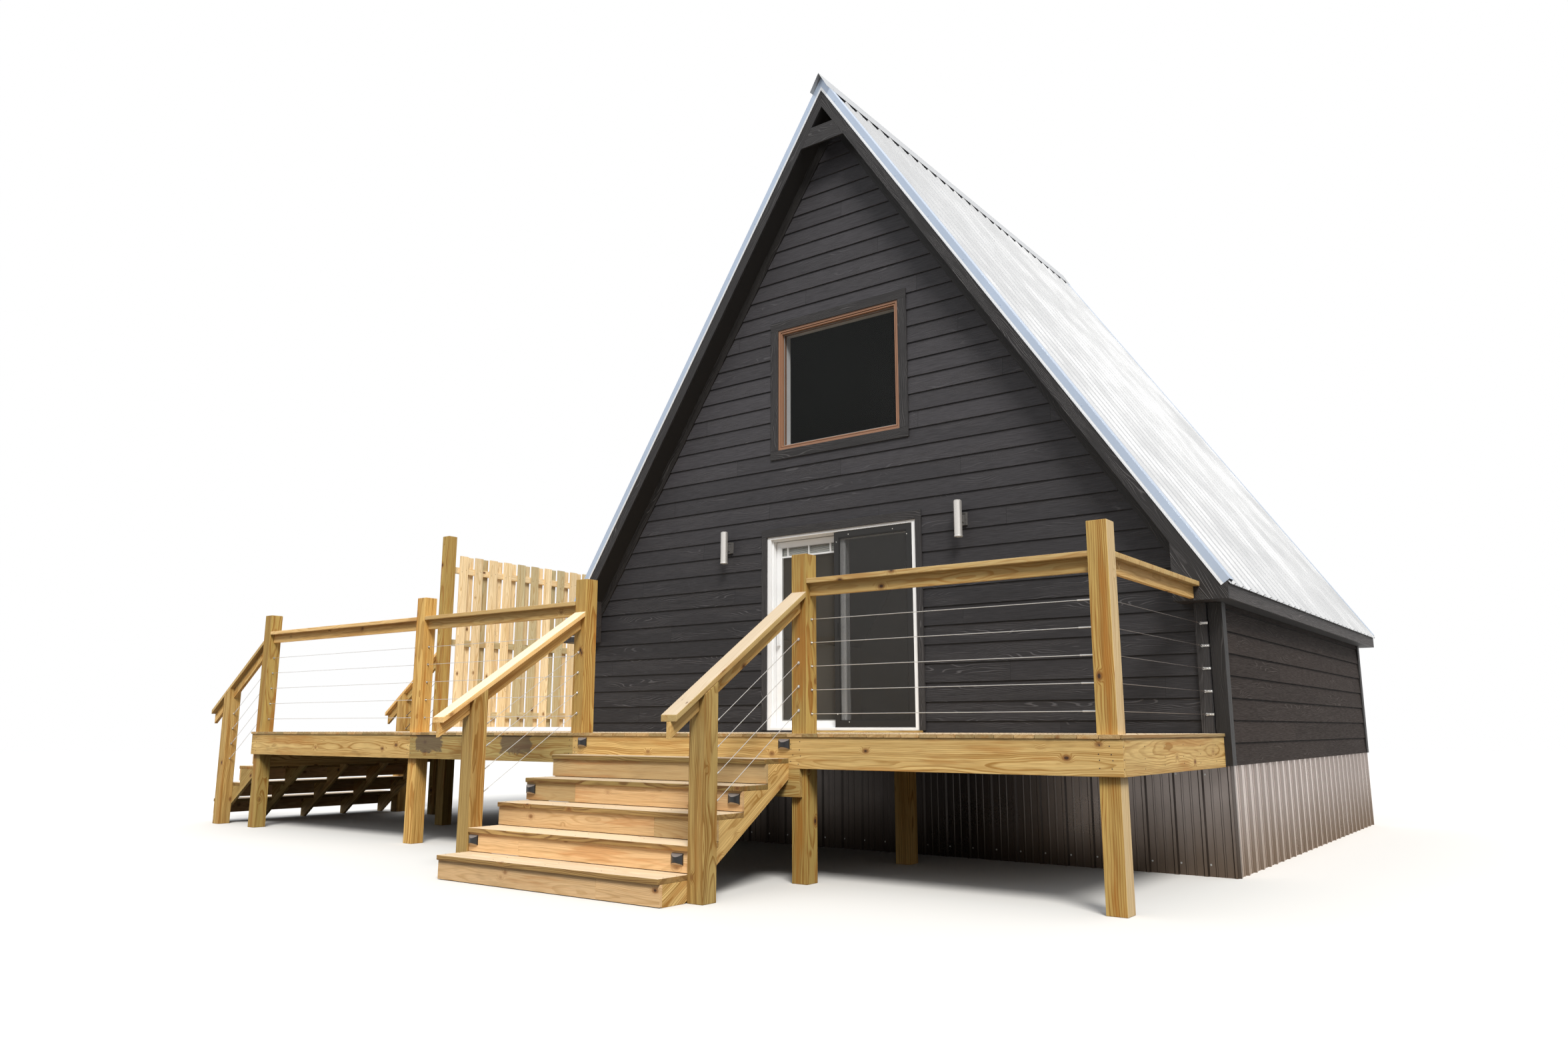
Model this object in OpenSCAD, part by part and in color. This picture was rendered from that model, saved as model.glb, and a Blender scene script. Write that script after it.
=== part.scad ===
// A-frame cabin on a skirted floor, with a timber deck, two stairs, cable railings and a privacy fence.
// Millimetres. The origin is on the ground, under the middle of the front wall. +X runs to the right
// of someone who faces the door, +Y runs into the cabin and +Z is up.

/* [Cabin] */
// Width of the cabin over its siding
cabin_w = 7380; // [6800:10:8000]
// Length of the cabin over its siding
cabin_l = 6050; // [5000:10:7400]
// Height of the decking above the lowest ground
deck_top = 1100; // [1050:10:1200]
// Height of the finished floor above the decking
floor_step = 20; // [5:5:40]
// Thickness of the floor boards inside the walls
floor_board_t = 18; // [12:1:25]
// How far the siding reaches below the decking
band_h = 250; // [240:5:300]
// Thickness of the framed walls
wall_t = 140; // [100:5:180]
// Exposed height of one course of siding
lap_h = 178; // [150:1:200]
// Thickness of the siding at the lower edge of a course
lap_t = 20; // [14:1:26]
// How far the upper edge of a course stands back
lap_taper = 12; // [8:1:13]
// Width of the corner boards
corner_w = 100; // [80:5:140]
// How far trim boards stand proud of the siding
trim_proud = 10; // [6:1:16]
// Side of the piers under the floor
pier_w = 200; // [140:10:300]
// Distance from the siding to the outer piers
pier_inset = 320; // [200:10:600]

/* [Roof] */
// Height of the lower edge of the roof at the eave boards, above the decking
eave_rise = 1178; // [1100:2:1250]
// Slope of the roof
roof_pitch = 56.5; // [56:0.1:57]
// How far the front rake boards stand in front of the siding
front_rake = 240; // [180:10:400]
// How far the rear rake boards stand behind the siding
rear_rake = 330; // [180:10:400]
// How far the eave boards stand out from the siding
eave_out = 132; // [110:2:180]
// Depth of the roof from the rib tops to its inside, at a right angle to the slope
roof_depth = 190; // [180:2:220]
// Height of the eave boards
eave_board_h = 139; // [120:1:190]
// Width of the boxed return at the foot of each rake
return_w = 432; // [300:2:520]
// Thickness of the rake boards and eave boards
fascia_t = 25; // [19:1:38]
// Height of the ribs of the metal sheets
rib_h = 19; // [12:1:24]
// Distance between two main ribs
rib_pitch = 229; // [200:1:305]
// Thickness of the metal sheets
sheet_t = 2; // [1:0.5:4]
// Width of the metal rake trim on the face of the rake board
rake_trim_w = 83; // [70:1:130]
// Width of the rake trim's flange on the roof
rake_flange_w = 115; // [60:5:140]
// Length of one leg of the ridge cap
ridge_leg = 200; // [150:10:260]
// How far the ridge cap is lifted above the sheets at its peak
ridge_lift = 30; // [16:1:60]
// Distance from the ridge down to the bottom edge of the collar boards
collar_drop = 753; // [650:1:900]
// Height of the collar boards
collar_h = 204; // [150:1:240]

/* [Openings] */
// Width of the patio door frame
door_w = 1810; // [1500:10:1900]
// Height of the patio door frame
door_h = 2020; // [1950:10:2080]
// Width of the jambs of the door frame, behind the screen
jamb_w = 60; // [40:1:80]
// Width of the jambs' outer face, beside the screen
jamb_face_w = 46; // [30:1:60]
// Height of the head's outer face, over the screen
head_face_h = 28; // [20:1:40]
// Clearance between the frames and the framed walls
frame_gap = 5; // [2:1:12]
// Width of the front and rear windows
window_w = 1514; // [1000:2:1700]
// Height of the front and rear windows
window_h = 1354; // [900:2:1500]
// Height of the window frame above the decking
window_rise = 2977; // [2900:1:3200]
// Width of the boards round the windows
window_trim_w = 100; // [70:5:120]
// Width of the boards beside the door
door_trim_w = 68; // [50:1:80]
// Height of the board over the door
door_head_h = 86; // [60:2:110]
// How far the fixed and the sliding door panel overlap
panel_lap = 64; // [40:2:90]
// Distance from the door's middle to the middle of the meeting stiles
meet_x = 27; // [0:1:40]
// Width of the stiles of the door panels
stile_w = 64; // [50:1:90]
// Width of the stiles of the screen
screen_stile_w = 66; // [40:1:80]
// Width of the bars in the sliding panel's pane
grille_w = 14; // [8:1:20]
// Distance between the upright bars in the pane
grille_pitch = 272; // [180:1:300]
// Height of the band of bars under the top of the pane
grille_band = 105; // [80:1:160]
// Distance from the middle of the door to each wall light
sconce_x = 1420; // [1200:10:1700]
// Height of the lower ends of the wall lights above the decking
sconce_rise = 1795; // [1500:5:2000]

/* [Deck] */
// Depth of the deck in front of the cabin
deck_depth = 2290; // [2000:10:2700]
// Distance from the cabin's middle to the right edge of the decking
deck_right = 3655; // [3500:5:3680]
// Distance from the cabin's middle to the left edge of the decking
deck_left = 6885; // [6200:5:7600]
// How far the wing beside the cabin runs back from the front wall
wing_l = 3320; // [2900:10:4200]
// Thickness of the deck boards
board_t = 25; // [22:1:38]
// Width of the deck boards
board_w = 140; // [90:1:184]
// Gap between two deck boards
board_gap = 4; // [2:0.5:8]
// How far the deck boards overhang the rim
overhang = 10; // [0:1:30]
// Depth of the rim boards and joists
rim_h = 235; // [184:1:286]
// Thickness of framing lumber
lumber_t = 38; // [35:1:45]
// Side of the square posts
post_w = 140; // [120:1:150]
// Clearance of the decking round a post
post_notch = 3; // [1:1:10]
// Spacing of the joists
joist_pitch = 406; // [300:1:610]
// Distance from the front wall to the short posts under the joists
prop_inset = 740; // [500:10:1200]
// Left face of the right stair post, to the right of the cabin's middle
newel_right = 1062; // [900:1:1250]
// Left face of the left stair post, to the left of the cabin's middle
newel_left = 1400; // [1300:1:1600]
// Left face of the post between the two left bays, to the left of the cabin's middle
bay_post = 3815; // [3500:1:4200]

/* [Railing] */
// Height of the rail cap above the decking
cap_rise = 1187; // [1000:1:1220]
// Height of the post tops above the decking
post_rise = 1385; // [1250:5:1450]
// Height of the sub-rail under the cap
subrail_h = 95; // [80:1:100]
// Number of cables in a level bay
cable_n = 5; // [4:1:5]
// Height of the lowest cable above the decking
cable_first = 149; // [100:1:170]
// Distance between two cables
cable_pitch = 181; // [120:1:190]
// Radius of a cable
cable_r = 2.4; // [1.5:0.1:4]
// Radius of a cable's swaged end
swage_r = 5; // [4.5:0.5:7]
// Length of a cable's swaged end
swage_l = 110; // [60:5:160]
// Width of the wall boards that take the cables
cable_board_w = 94; // [80:1:105]

/* [Stairs] */
// Number of risers of the main stair
main_risers = 6; // [6:1:7]
// Rise of one step of the side stair
side_rise = 205; // [190:1:210]
// Number of treads of the side stair
side_treads = 4; // [3:1:4]
// Depth of one tread
tread_run = 280; // [260:5:300]
// How far a tread overhangs its riser
nosing = 20; // [5:1:30]
// Distance between the side stair's corner post and its fence post
side_gap = 2462; // [2200:1:2700]
// Depth of the boards that the stringers are cut from
stringer_h = 240; // [220:2:300]
// Number of stringers in a flight
stringer_n = 5; // [3:1:6]
// Thickness of the riser boards
riser_t = 25; // [19:1:38]
// Gap under a riser board of the main stair
main_slit = 5; // [2:1:20]
// Gap under a riser board of the side stair
side_slit = 27; // [5:1:40]
// Depth of the header board that carries the main stringers below the rim
header_h = 150; // [90:5:184]
// Height of the stair handrail at the deck post, above the decking
handrail_rise = 1085; // [1000:5:1120]
// Distance from the deck to the lower post of the main stair
main_newel = 1000; // [800:10:1100]
// Distance from the deck to the lower post of the side stair
side_newel = 695; // [600:5:800]
// Length of handrail in front of the lower post
handrail_tail = 285; // [200:5:380]
// Number of cables beside a flight
stair_cable_n = 4; // [3:1:4]
// Height of the lowest stair cable at the deck post, above the decking
stair_cable_first = 180; // [150:5:200]
// Width of a step light
light_w = 84; // [60:2:110]
// Height of a step light
light_h = 76; // [50:2:90]

/* [Fence] */
// Height of the fence pickets above the decking
picket_rise = 2455; // [2350:5:2500]
// Height of the fence posts above the decking
fence_post_rise = 2710; // [2520:5:2800]
// Distance between two pickets on one face of the fence
picket_pitch = 260; // [200:5:300]
// Width of a picket
picket_w = 140; // [120:1:150]
// Thickness of a picket
picket_t = 19; // [14:1:25]
// Depth of the fence rails
fence_rail_h = 89; // [70:1:140]

/* [Hidden] */
$fn = 32;

// Clearance under a sloping seat, so that two sloping faces don't press into each other
seat = 0.3;

// Levels and faces of the cabin
half_w = cabin_w / 2;
core_x = half_w - lap_t;
core_y0 = lap_t;
core_y1 = cabin_l - lap_t;
band_z = deck_top - band_h;
floor_top = deck_top + floor_step;
soffit_z = deck_top + eave_rise - eave_board_h;
expansion_gap = 6;

// Roof: the rib tops of its two planes meet at the ridge
slope = tan(roof_pitch);
steep = cos(roof_pitch);
metal_t = rib_h + sheet_t;
under_t = metal_t + seat;
eave_x = half_w + eave_out;
ridge_z = deck_top + eave_rise + slope * eave_x + metal_t / steep;
drip = 18;
roof_y0 = -front_rake;
roof_y1 = cabin_l + rear_rake;
slab_y0 = roof_y0 + fascia_t;
slab_y1 = roof_y1 - fascia_t;
mitre = 1;

// Door: the screen runs in front, then comes the fixed panel, and the sliding panel runs inside
door_z = floor_top;
door_top = door_z + door_h;
head_h = 45;
sill_h = 26;
frame_y0 = 5;
frame_d = 130;
track_h = 6;
track_t = 4;
track_seat = 0.3;
panel_clear = 6;
panel_gap = 10;
panel_t = 35;
screen_t = 18;
glass_t = 16;
screen_y = frame_y0 + 7;
fixed_y = screen_y + screen_t + panel_gap;
slide_y = fixed_y + panel_t + panel_gap;
rebate_y = screen_y + screen_t + 6;
face_x = door_w / 2 - jamb_face_w;
clear_x = door_w / 2 - jamb_w;
clear_z0 = door_z + sill_h;
clear_z1 = door_top - head_h;
run_z0 = clear_z0 + track_h + track_seat;

// Windows
window_z = deck_top + window_rise;
window_d = 90;

// Wall lights
sconce_z = deck_top + sconce_rise;
plate_w = 96;
plate_h = 120;

// Deck
deck_y0 = -deck_depth;
rim_y0 = deck_y0 + overhang;
rim_x0 = overhang - deck_left;
rim_x1 = deck_right - overhang;
rim_z0 = deck_top - board_t - rim_h;
joist_z1 = deck_top - board_t;
wall_gap = trim_proud + 2;
ledger_y = -trim_proud - lumber_t;
ledger_x = -half_w - trim_proud - lumber_t;
post_y0 = rim_y0 + lumber_t;
corner_x = rim_x1 - lumber_t - post_w;
wing_y1 = wing_l - overhang;
fence_y0 = post_y0 + side_gap;
fence_y1 = wing_y1 - lumber_t - post_w;
deck_spots = [[corner_x, post_y0], [newel_right, post_y0], [-newel_left, post_y0],
    [-bay_post, post_y0], [rim_x0, post_y0]];
fence_spots = [[rim_x0, fence_y0], [rim_x0, fence_y1]];
butt = 0.5;
rim_seams = [rim_x0, -bay_post + post_w / 2, -newel_left + post_w / 2, rim_x1];
cap_z = deck_top + cap_rise - lumber_t;

// Stairs
main_rise = deck_top / main_risers;
main_treads = main_risers - 1;
main_w = newel_right + newel_left - post_w;
side_w = side_gap - post_w;

// Height of a roof plane at a distance from the middle, and the distance at which it has a height
function roof_z(x, depth) = ridge_z - slope * abs(x) - depth / steep;
function roof_x(z, depth) = (ridge_z - depth / steep - z) / slope;

module block(lo, hi) {
    translate(lo) cube(hi - lo);
}

module rect(x0, z0, x1, z1) {
    translate([x0, z0]) square([x1 - x0, z1 - z0]);
}

// Extrudes an outline drawn in X and Z from y0 to y1
module wall_prism(y0, y1) {
    translate([0, y1, 0]) rotate([90, 0, 0]) linear_extrude(y1 - y0) children();
}

// Extrudes an outline drawn in Y and Z from x0 to x1
module side_prism(x0, x1) {
    translate([x0, 0, 0]) rotate([90, 0, 90]) linear_extrude(x1 - x0) children();
}

module both_sides() {
    children();
    mirror([1, 0, 0]) children();
}

module both_ends() {
    children();
    translate([0, cabin_l, 0]) mirror([0, 1, 0]) children();
}

// Outline of a gable from a base height up to the inside of the roof, cut off at a half width
module gable_outline(base, half) {
    eave = roof_z(half, roof_depth);
    polygon([[-half, base], [half, base], [half, eave], [0, roof_z(0, roof_depth)], [-half, eave]]);
}

module window_hole(border) {
    rect(-window_w / 2 - border, window_z - border, window_w / 2 + border, window_z + window_h + border);
}

// Floor and walls

module cabin_floor() {
    color("#8a6a45") block([-core_x, core_y0, band_z], [core_x, core_y1, floor_top]);
}

// Boards laid between the walls, with an expansion gap all round
module floor_boards() {
    edge = wall_t + expansion_gap;
    color("#b08d5f") block([edge - core_x, core_y0 + edge, floor_top],
        [core_x - edge, core_y1 - edge, floor_top + floor_board_t]);
}

module floor_piers() {
    last_x = half_w - pier_inset - pier_w;
    last_y = cabin_l - pier_inset - pier_w;
    color("#8c8a86")
        for (x = [-last_x - pier_w, -pier_w / 2, last_x], y = [pier_inset, (pier_inset + last_y) / 2, last_y])
            block([x, y, 0], [x + pier_w, y + pier_w, band_z]);
}

module front_wall_side() {
    edge = door_w / 2 + frame_gap;
    wall_prism(core_y0, core_y0 + wall_t) intersection() {
        gable_outline(floor_top, core_x);
        rect(edge, floor_top, core_x, door_top + frame_gap);
    }
}

module front_wall_right() {
    color("#33332f") front_wall_side();
}

module front_wall_left() {
    color("#33332f") mirror([1, 0, 0]) front_wall_side();
}

module front_gable() {
    color("#33332f") wall_prism(core_y0, core_y0 + wall_t) difference() {
        intersection() {
            gable_outline(floor_top, core_x);
            rect(-core_x, door_top + frame_gap, core_x, ridge_z);
        }
        window_hole(frame_gap);
    }
}

module back_gable() {
    color("#33332f") wall_prism(core_y1 - wall_t, core_y1) difference() {
        gable_outline(floor_top, core_x);
        window_hole(frame_gap);
    }
}

module knee_walls() {
    inner = core_x - wall_t;
    color("#37332f") both_sides() wall_prism(core_y0 + wall_t, core_y1 - wall_t)
        polygon([[inner, floor_top], [core_x, floor_top], [core_x, roof_z(core_x, roof_depth)],
            [inner, roof_z(inner, roof_depth)]]);
}

// Lap siding: each course is a board that leans out to its lower edge

function lap_profile(top) = concat([[lap_t, band_z]],
    [for (z = [band_z : lap_h : top - 1]) each [[0, z], [lap_taper, min(z + lap_h, top)]]],
    [[lap_t, top]]);

module gable_siding() {
    edge = half_w - corner_w;
    intersection() {
        side_prism(-edge, edge) polygon(lap_profile(roof_z(0, roof_depth)));
        wall_prism(-1, lap_t + 1) difference() {
            gable_outline(band_z - 1, edge);
            window_hole(window_trim_w);
            children();
        }
    }
}

module front_siding() {
    side = door_w / 2 + door_trim_w;
    color("#3a3a3c") gable_siding() {
        rect(-side, floor_top, side, door_top + door_head_h);
        for (x = [-sconce_x, sconce_x])
            rect(x - plate_w / 2, sconce_z + plate_h, x + plate_w / 2, sconce_z + 2 * plate_h);
    }
}

module back_siding() {
    color("#3a3a3c") translate([0, cabin_l, 0]) mirror([0, 1, 0]) gable_siding();
}

module side_siding() {
    color("#453f3b") both_sides() translate([half_w, 0, 0]) rotate([0, 0, 90])
        side_prism(corner_w, cabin_l - corner_w) polygon(lap_profile(roof_z(half_w, roof_depth)));
}

module corner_boards() {
    color("#2f2f30") both_ends() both_sides() {
        block([half_w - corner_w, -trim_proud, band_z], [half_w + trim_proud, lap_t, soffit_z]);
        block([core_x, lap_t - 1, band_z], [half_w + trim_proud, corner_w, soffit_z]);
    }
}

// Ribbed metal sheet in plan: main ribs with two low ribs between them, set out from the middle

rib_section = [[-23, 0], [-11, 1], [11, 1], [23, 0], [69, 0], [74, 0.25], [84, 0.25], [89, 0],
    [136, 0], [141, 0.25], [151, 0.25], [156, 0]];

function rib_line(half) = [for (k = [-ceil(half / rib_pitch) : ceil(half / rib_pitch)], q = rib_section)
    if (abs(k * rib_pitch + q[0]) < half) [k * rib_pitch + q[0], sheet_t + q[1] * rib_h]];

module ribbed_outline(half) {
    ribs = rib_line(half);
    polygon(concat([[-half, 0], [-half, ribs[0][1]]], ribs,
        [[half, ribs[len(ribs) - 1][1]], [half, 0]]));
}

module skirts() {
    depth = metal_t + 1;
    color("#9a9896") {
        both_ends() translate([0, metal_t, 0]) mirror([0, 1, 0]) linear_extrude(band_z) ribbed_outline(core_x);
        both_sides() translate([half_w - metal_t, cabin_l / 2, 0]) rotate([0, 0, -90])
            linear_extrude(band_z) ribbed_outline(cabin_l / 2 - depth);
    }
}

// Roof

module roof_slab() {
    fall = eave_x - fascia_t;
    wall_prism(slab_y0, slab_y1) polygon([[0, roof_z(0, under_t)], [fall, roof_z(fall, under_t)],
        [fall, soffit_z], [half_w, soffit_z], [half_w, roof_z(half_w, roof_depth)],
        [0, roof_z(0, roof_depth)]]);
}

module roof_right() {
    color("#2c2b2a") roof_slab();
}

module roof_left() {
    color("#2c2b2a") mirror([1, 0, 0]) roof_slab();
}

// The sheet's outline is drawn along the eave and run down the slope
module roof_sheets() {
    half = (roof_y1 - roof_y0) / 2 - 1;
    color("#d9dcdf") both_sides() translate([0, (roof_y0 + roof_y1) / 2, ridge_z - metal_t / steep])
        rotate([0, roof_pitch, 0]) side_prism(mitre, (eave_x + drip) / steep) ribbed_outline(half);
}

module ridge_cap() {
    leg = ridge_leg * steep;
    foot = roof_z(leg, -sheet_t);
    hem = foot + sheet_t / steep;
    peak = ridge_z + ridge_lift;
    color("#cfd3d7") wall_prism(roof_y0 - 55, roof_y1 + 40)
        polygon([[-leg, foot], [0, peak - sheet_t / steep], [leg, foot], [leg, hem], [0, peak], [-leg, hem]]);
}

// One sloping rake board with the boxed return at its foot
module rake_board() {
    inner = eave_x - return_w;
    wall_prism(roof_y0, slab_y0) polygon([[mitre, roof_z(mitre, under_t)],
        [eave_x, roof_z(eave_x, under_t)], [eave_x, soffit_z], [inner, soffit_z],
        [inner, roof_z(inner, roof_depth)], [mitre, roof_z(mitre, roof_depth)]]);
}

// Places a front piece of the roof's edge also at the rear, where the rake stands out further
module both_rakes() {
    children();
    translate([0, roof_y0 + roof_y1, 0]) mirror([0, 1, 0]) children();
}

module rake_boards() {
    color("#3b3a3c") both_rakes() both_sides() rake_board();
}

module collar_boards() {
    z0 = ridge_z - collar_drop;
    z1 = z0 + collar_h;
    half0 = roof_x(z0, roof_depth);
    half1 = roof_x(z1, roof_depth);
    color("#3b3a3c") both_rakes() wall_prism(roof_y0, slab_y0)
        polygon([[-half0, z0], [half0, z0], [half1, z1], [-half1, z1]]);
}

// Sheet-metal trim on each rake: a face with a hemmed lower edge on the rake board and a flange on the ribs
module rake_trim() {
    hem_w = 14;
    end = eave_x + drip;
    low = end - rake_trim_w * sin(roof_pitch);
    hem = end - (rake_trim_w - hem_w) * sin(roof_pitch);
    wall_prism(roof_y0 - 6, roof_y0) polygon([[0, roof_z(0, rake_trim_w - hem_w)],
        [hem, roof_z(hem, rake_trim_w - hem_w)], [low, roof_z(low, rake_trim_w)], [0, roof_z(0, rake_trim_w)]]);
    wall_prism(roof_y0 - sheet_t, roof_y0) polygon([[0, roof_z(0, -sheet_t)], [end, roof_z(end, -sheet_t)],
        [low, roof_z(low, rake_trim_w)], [0, roof_z(0, rake_trim_w)]]);
    wall_prism(roof_y0 - 1, roof_y0 + rake_flange_w) polygon([[0, roof_z(0, -sheet_t)],
        [end, roof_z(end, -sheet_t)], [end, roof_z(end, 0)], [0, roof_z(0, 0)]]);
}

module rake_trims() {
    color("#b9c4d2") both_rakes() both_sides() rake_trim();
}

// Eave boards, and the boxes behind the returns that close the soffit's corners
module eave_boards() {
    inner = eave_x - return_w;
    color("#403d3b") both_sides() {
        block([eave_x - fascia_t, slab_y0, soffit_z], [eave_x, slab_y1, roof_z(eave_x, under_t)]);
        for (span = [[slab_y0, 0], [cabin_l, slab_y1]])
            wall_prism(span[0], span[1]) polygon([[inner, soffit_z], [half_w, soffit_z],
                [half_w, roof_z(half_w, roof_depth)], [inner, roof_z(inner, roof_depth)]]);
    }
}

// Door and windows

module casings() {
    side = door_w / 2;
    color("#2d2d2e") {
        wall_prism(-trim_proud, core_y0) difference() {
            rect(-side - door_trim_w, floor_top, side + door_trim_w, door_top + door_head_h);
            rect(-side, floor_top - 1, side, door_top);
        }
        both_ends() wall_prism(-trim_proud, core_y0) difference() {
            window_hole(window_trim_w);
            window_hole(0);
        }
    }
}

// Each jamb has a rebate that the screen shuts into
module door_jambs() {
    color("#e9e9e6") both_sides() {
        block([face_x, frame_y0, door_z], [door_w / 2, frame_y0 + frame_d, door_top]);
        block([clear_x, rebate_y, door_z], [door_w / 2, frame_y0 + frame_d, door_top]);
    }
}

// The sill carries a track for the screen and a track for the sliding panel
module door_sill_and_head() {
    color("#e9e9e6") {
        block([-face_x, frame_y0, door_z], [face_x, rebate_y, clear_z0]);
        block([-clear_x, frame_y0, door_z], [clear_x, frame_y0 + frame_d, clear_z0]);
        block([-face_x, frame_y0, door_top - head_face_h], [face_x, rebate_y, door_top]);
        side_prism(-clear_x, clear_x) polygon([[frame_y0, door_top], [frame_y0, door_top - head_face_h],
            [rebate_y, door_top - head_face_h], [rebate_y, clear_z1], [frame_y0 + frame_d, clear_z1],
            [frame_y0 + frame_d, door_top]]);
        for (y = [screen_y + screen_t / 2, slide_y + panel_t / 2])
            block([-clear_x, y - track_t / 2, clear_z0 - 1], [clear_x, y + track_t / 2, clear_z0 + track_h]);
    }
}

// Ring between an outline and the same outline drawn in by an amount
module ring(x0, z0, x1, z1, from, to) {
    difference() {
        rect(x0 + from, z0 + from, x1 - from, z1 - from);
        rect(x0 + to, z0 + to, x1 - to, z1 - to);
    }
}

// Panel of stiles and rails round one pane, which a stepped bead holds
module glazed_panel(x0, x1, z0, z1, y) {
    bead = 13;
    step = 5;
    color("#ececea") {
        wall_prism(y, y + panel_t) ring(x0, z0, x1, z1, 0, stile_w - bead);
        wall_prism(y + step, y + panel_t - step) ring(x0, z0, x1, z1, stile_w - bead - 1, stile_w);
    }
    color([0.6, 0.68, 0.72, 0.5]) block([x0 + stile_w - 1, y + (panel_t - glass_t) / 2, z0 + stile_w - 1],
        [x1 - stile_w + 1, y + (panel_t + glass_t) / 2, z1 - stile_w + 1]);
}

// Band of bars across the top of a pane
module grille(x0, x1, z1, y) {
    proud = 3;
    y0 = y + (panel_t - glass_t) / 2 - proud;
    y1 = y + (panel_t + glass_t) / 2 + proud;
    color("#ececea") {
        block([x0 - 1, y0, z1 - grille_band], [x1 + 1, y1, z1 - grille_band + grille_w]);
        for (x = [x0 + grille_pitch / 4 : grille_pitch : x1 - grille_w])
            block([x, y0, z1 - grille_band + 1], [x + grille_w, y1, z1 + 1]);
    }
}

module fixed_door_panel() {
    glazed_panel(meet_x - panel_lap / 2, clear_x, clear_z0, clear_z1, fixed_y);
}

module sliding_door_panel() {
    x0 = panel_clear - clear_x;
    pull_x = x0 + stile_w / 2;
    pull_z = deck_top + 890;
    pull_h = 190;
    reach = 40;
    x1 = meet_x + panel_lap / 2;
    z1 = clear_z1 - panel_clear;
    glazed_panel(x0, x1, run_z0, z1, slide_y);
    grille(x0 + stile_w, x1 - stile_w, z1 - stile_w, slide_y);
    color("#f2f2f0") {
        for (z = [pull_z, pull_z + pull_h - 20])
            block([pull_x, slide_y - reach, z], [pull_x + 18, slide_y + 1, z + 20]);
        block([pull_x, slide_y - reach, pull_z], [pull_x + 18, slide_y - reach + 14, pull_z + pull_h]);
    }
}

module screen_door() {
    x0 = meet_x - panel_lap / 2 - 51;
    x1 = face_x - panel_clear;
    z1 = door_top - head_face_h - panel_clear;
    bar = screen_stile_w;
    grip_x = x0 + bar / 2;
    color("#171819") {
        wall_prism(screen_y, screen_y + screen_t) ring(x0, run_z0, x1, z1, 0, bar - 10);
        wall_prism(screen_y + 4, screen_y + screen_t - 4) ring(x0, run_z0, x1, z1, bar - 11, bar);
        block([x0 + bar - 1, screen_y + 8, run_z0 + bar - 1], [x1 - bar + 1, screen_y + 10, z1 - bar + 1]);
        block([grip_x - 9, screen_y - 6, deck_top + 940], [grip_x + 9, screen_y + 1, deck_top + 1080]);
    }
}

// Window unit: an outer frame, a groove and an inner bead round one fixed pane
module window_unit() {
    border = 46;
    pane_y = window_d / 2;
    color("#8b7355") for (layer = [[0, 26, 0], [25, 34, 18], [33, border, 6]])
        wall_prism(layer[2], window_d) difference() {
            window_hole(-layer[0]);
            window_hole(-layer[1]);
        }
    color([0.62, 0.7, 0.74, 0.5])
        wall_prism(pane_y - glass_t / 2, pane_y + glass_t / 2) window_hole(1 - border);
}

module front_window() {
    window_unit();
}

module back_window() {
    translate([0, cabin_l, 0]) mirror([0, 1, 0]) window_unit();
}

// Upright tube lights with an open rim below, each on a dished plate that is let into the siding
module wall_lights() {
    tube_r = 39;
    tube_h = 350;
    tube_y = -100;
    color("#b9bcc0") for (x = [-sconce_x, sconce_x]) {
        translate([x, tube_y, sconce_z]) rotate_extrude($fn = 48) polygon([[0, 30], [tube_r - 5, 30],
            [tube_r - 5, 0], [tube_r + 3, 0], [tube_r + 3, 10], [tube_r, 13], [tube_r, tube_h - 9],
            [tube_r - 9, tube_h], [0, tube_h]]);
        difference() {
            block([x - plate_w / 2, -22, sconce_z + plate_h],
                [x + plate_w / 2, core_y0, sconce_z + 2 * plate_h]);
            block([x - plate_w / 2 + 9, -23, sconce_z + plate_h + 9],
                [x + plate_w / 2 - 9, -16, sconce_z + 2 * plate_h - 9]);
        }
        block([x - 14, tube_y, sconce_z + plate_h + 30], [x + 14, -15, sconce_z + 2 * plate_h - 30]);
    }
}

// Deck

// Field of deck boards, from x0 to x1: its top has a groove between each two boards
function board_line(x0, x1) = [for (x = [x0 : board_w + board_gap : x1]) each [
    [x, deck_top], [min(x + board_w, x1), deck_top],
    if (x + board_w < x1) [x + board_w, deck_top - board_t / 2],
    if (x + board_w < x1) [min(x + board_w + board_gap, x1), deck_top - board_t / 2]]];

module board_field(x0, x1, y0, y1) {
    difference() {
        wall_prism(y0, y1) polygon(concat([[x0, joist_z1]], board_line(x0, x1), [[x1, joist_z1]]));
        for (p = concat(deck_spots, fence_spots))
            block([p[0] - post_notch, p[1] - post_notch, joist_z1 - 1],
                [p[0] + post_w + post_notch, p[1] + post_w + post_notch, deck_top + 1]);
    }
}

module decking() {
    seam = -half_w - wall_gap;
    color("#c99a5b") {
        board_field(seam, deck_right, deck_y0, -wall_gap);
        board_field(-deck_left, seam - board_gap, deck_y0, wing_l);
    }
}

// Boards of the deck's frame: each stays a solid of its own, because its ends stop short of its neighbours
module beam_x(x0, x1, y) {
    block([x0 + butt, y, rim_z0], [x1 - butt, y + lumber_t, joist_z1]);
}

module beam_y(y0, y1, x) {
    block([x, y0 + butt, rim_z0], [x + lumber_t, y1 - butt, joist_z1]);
}

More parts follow.
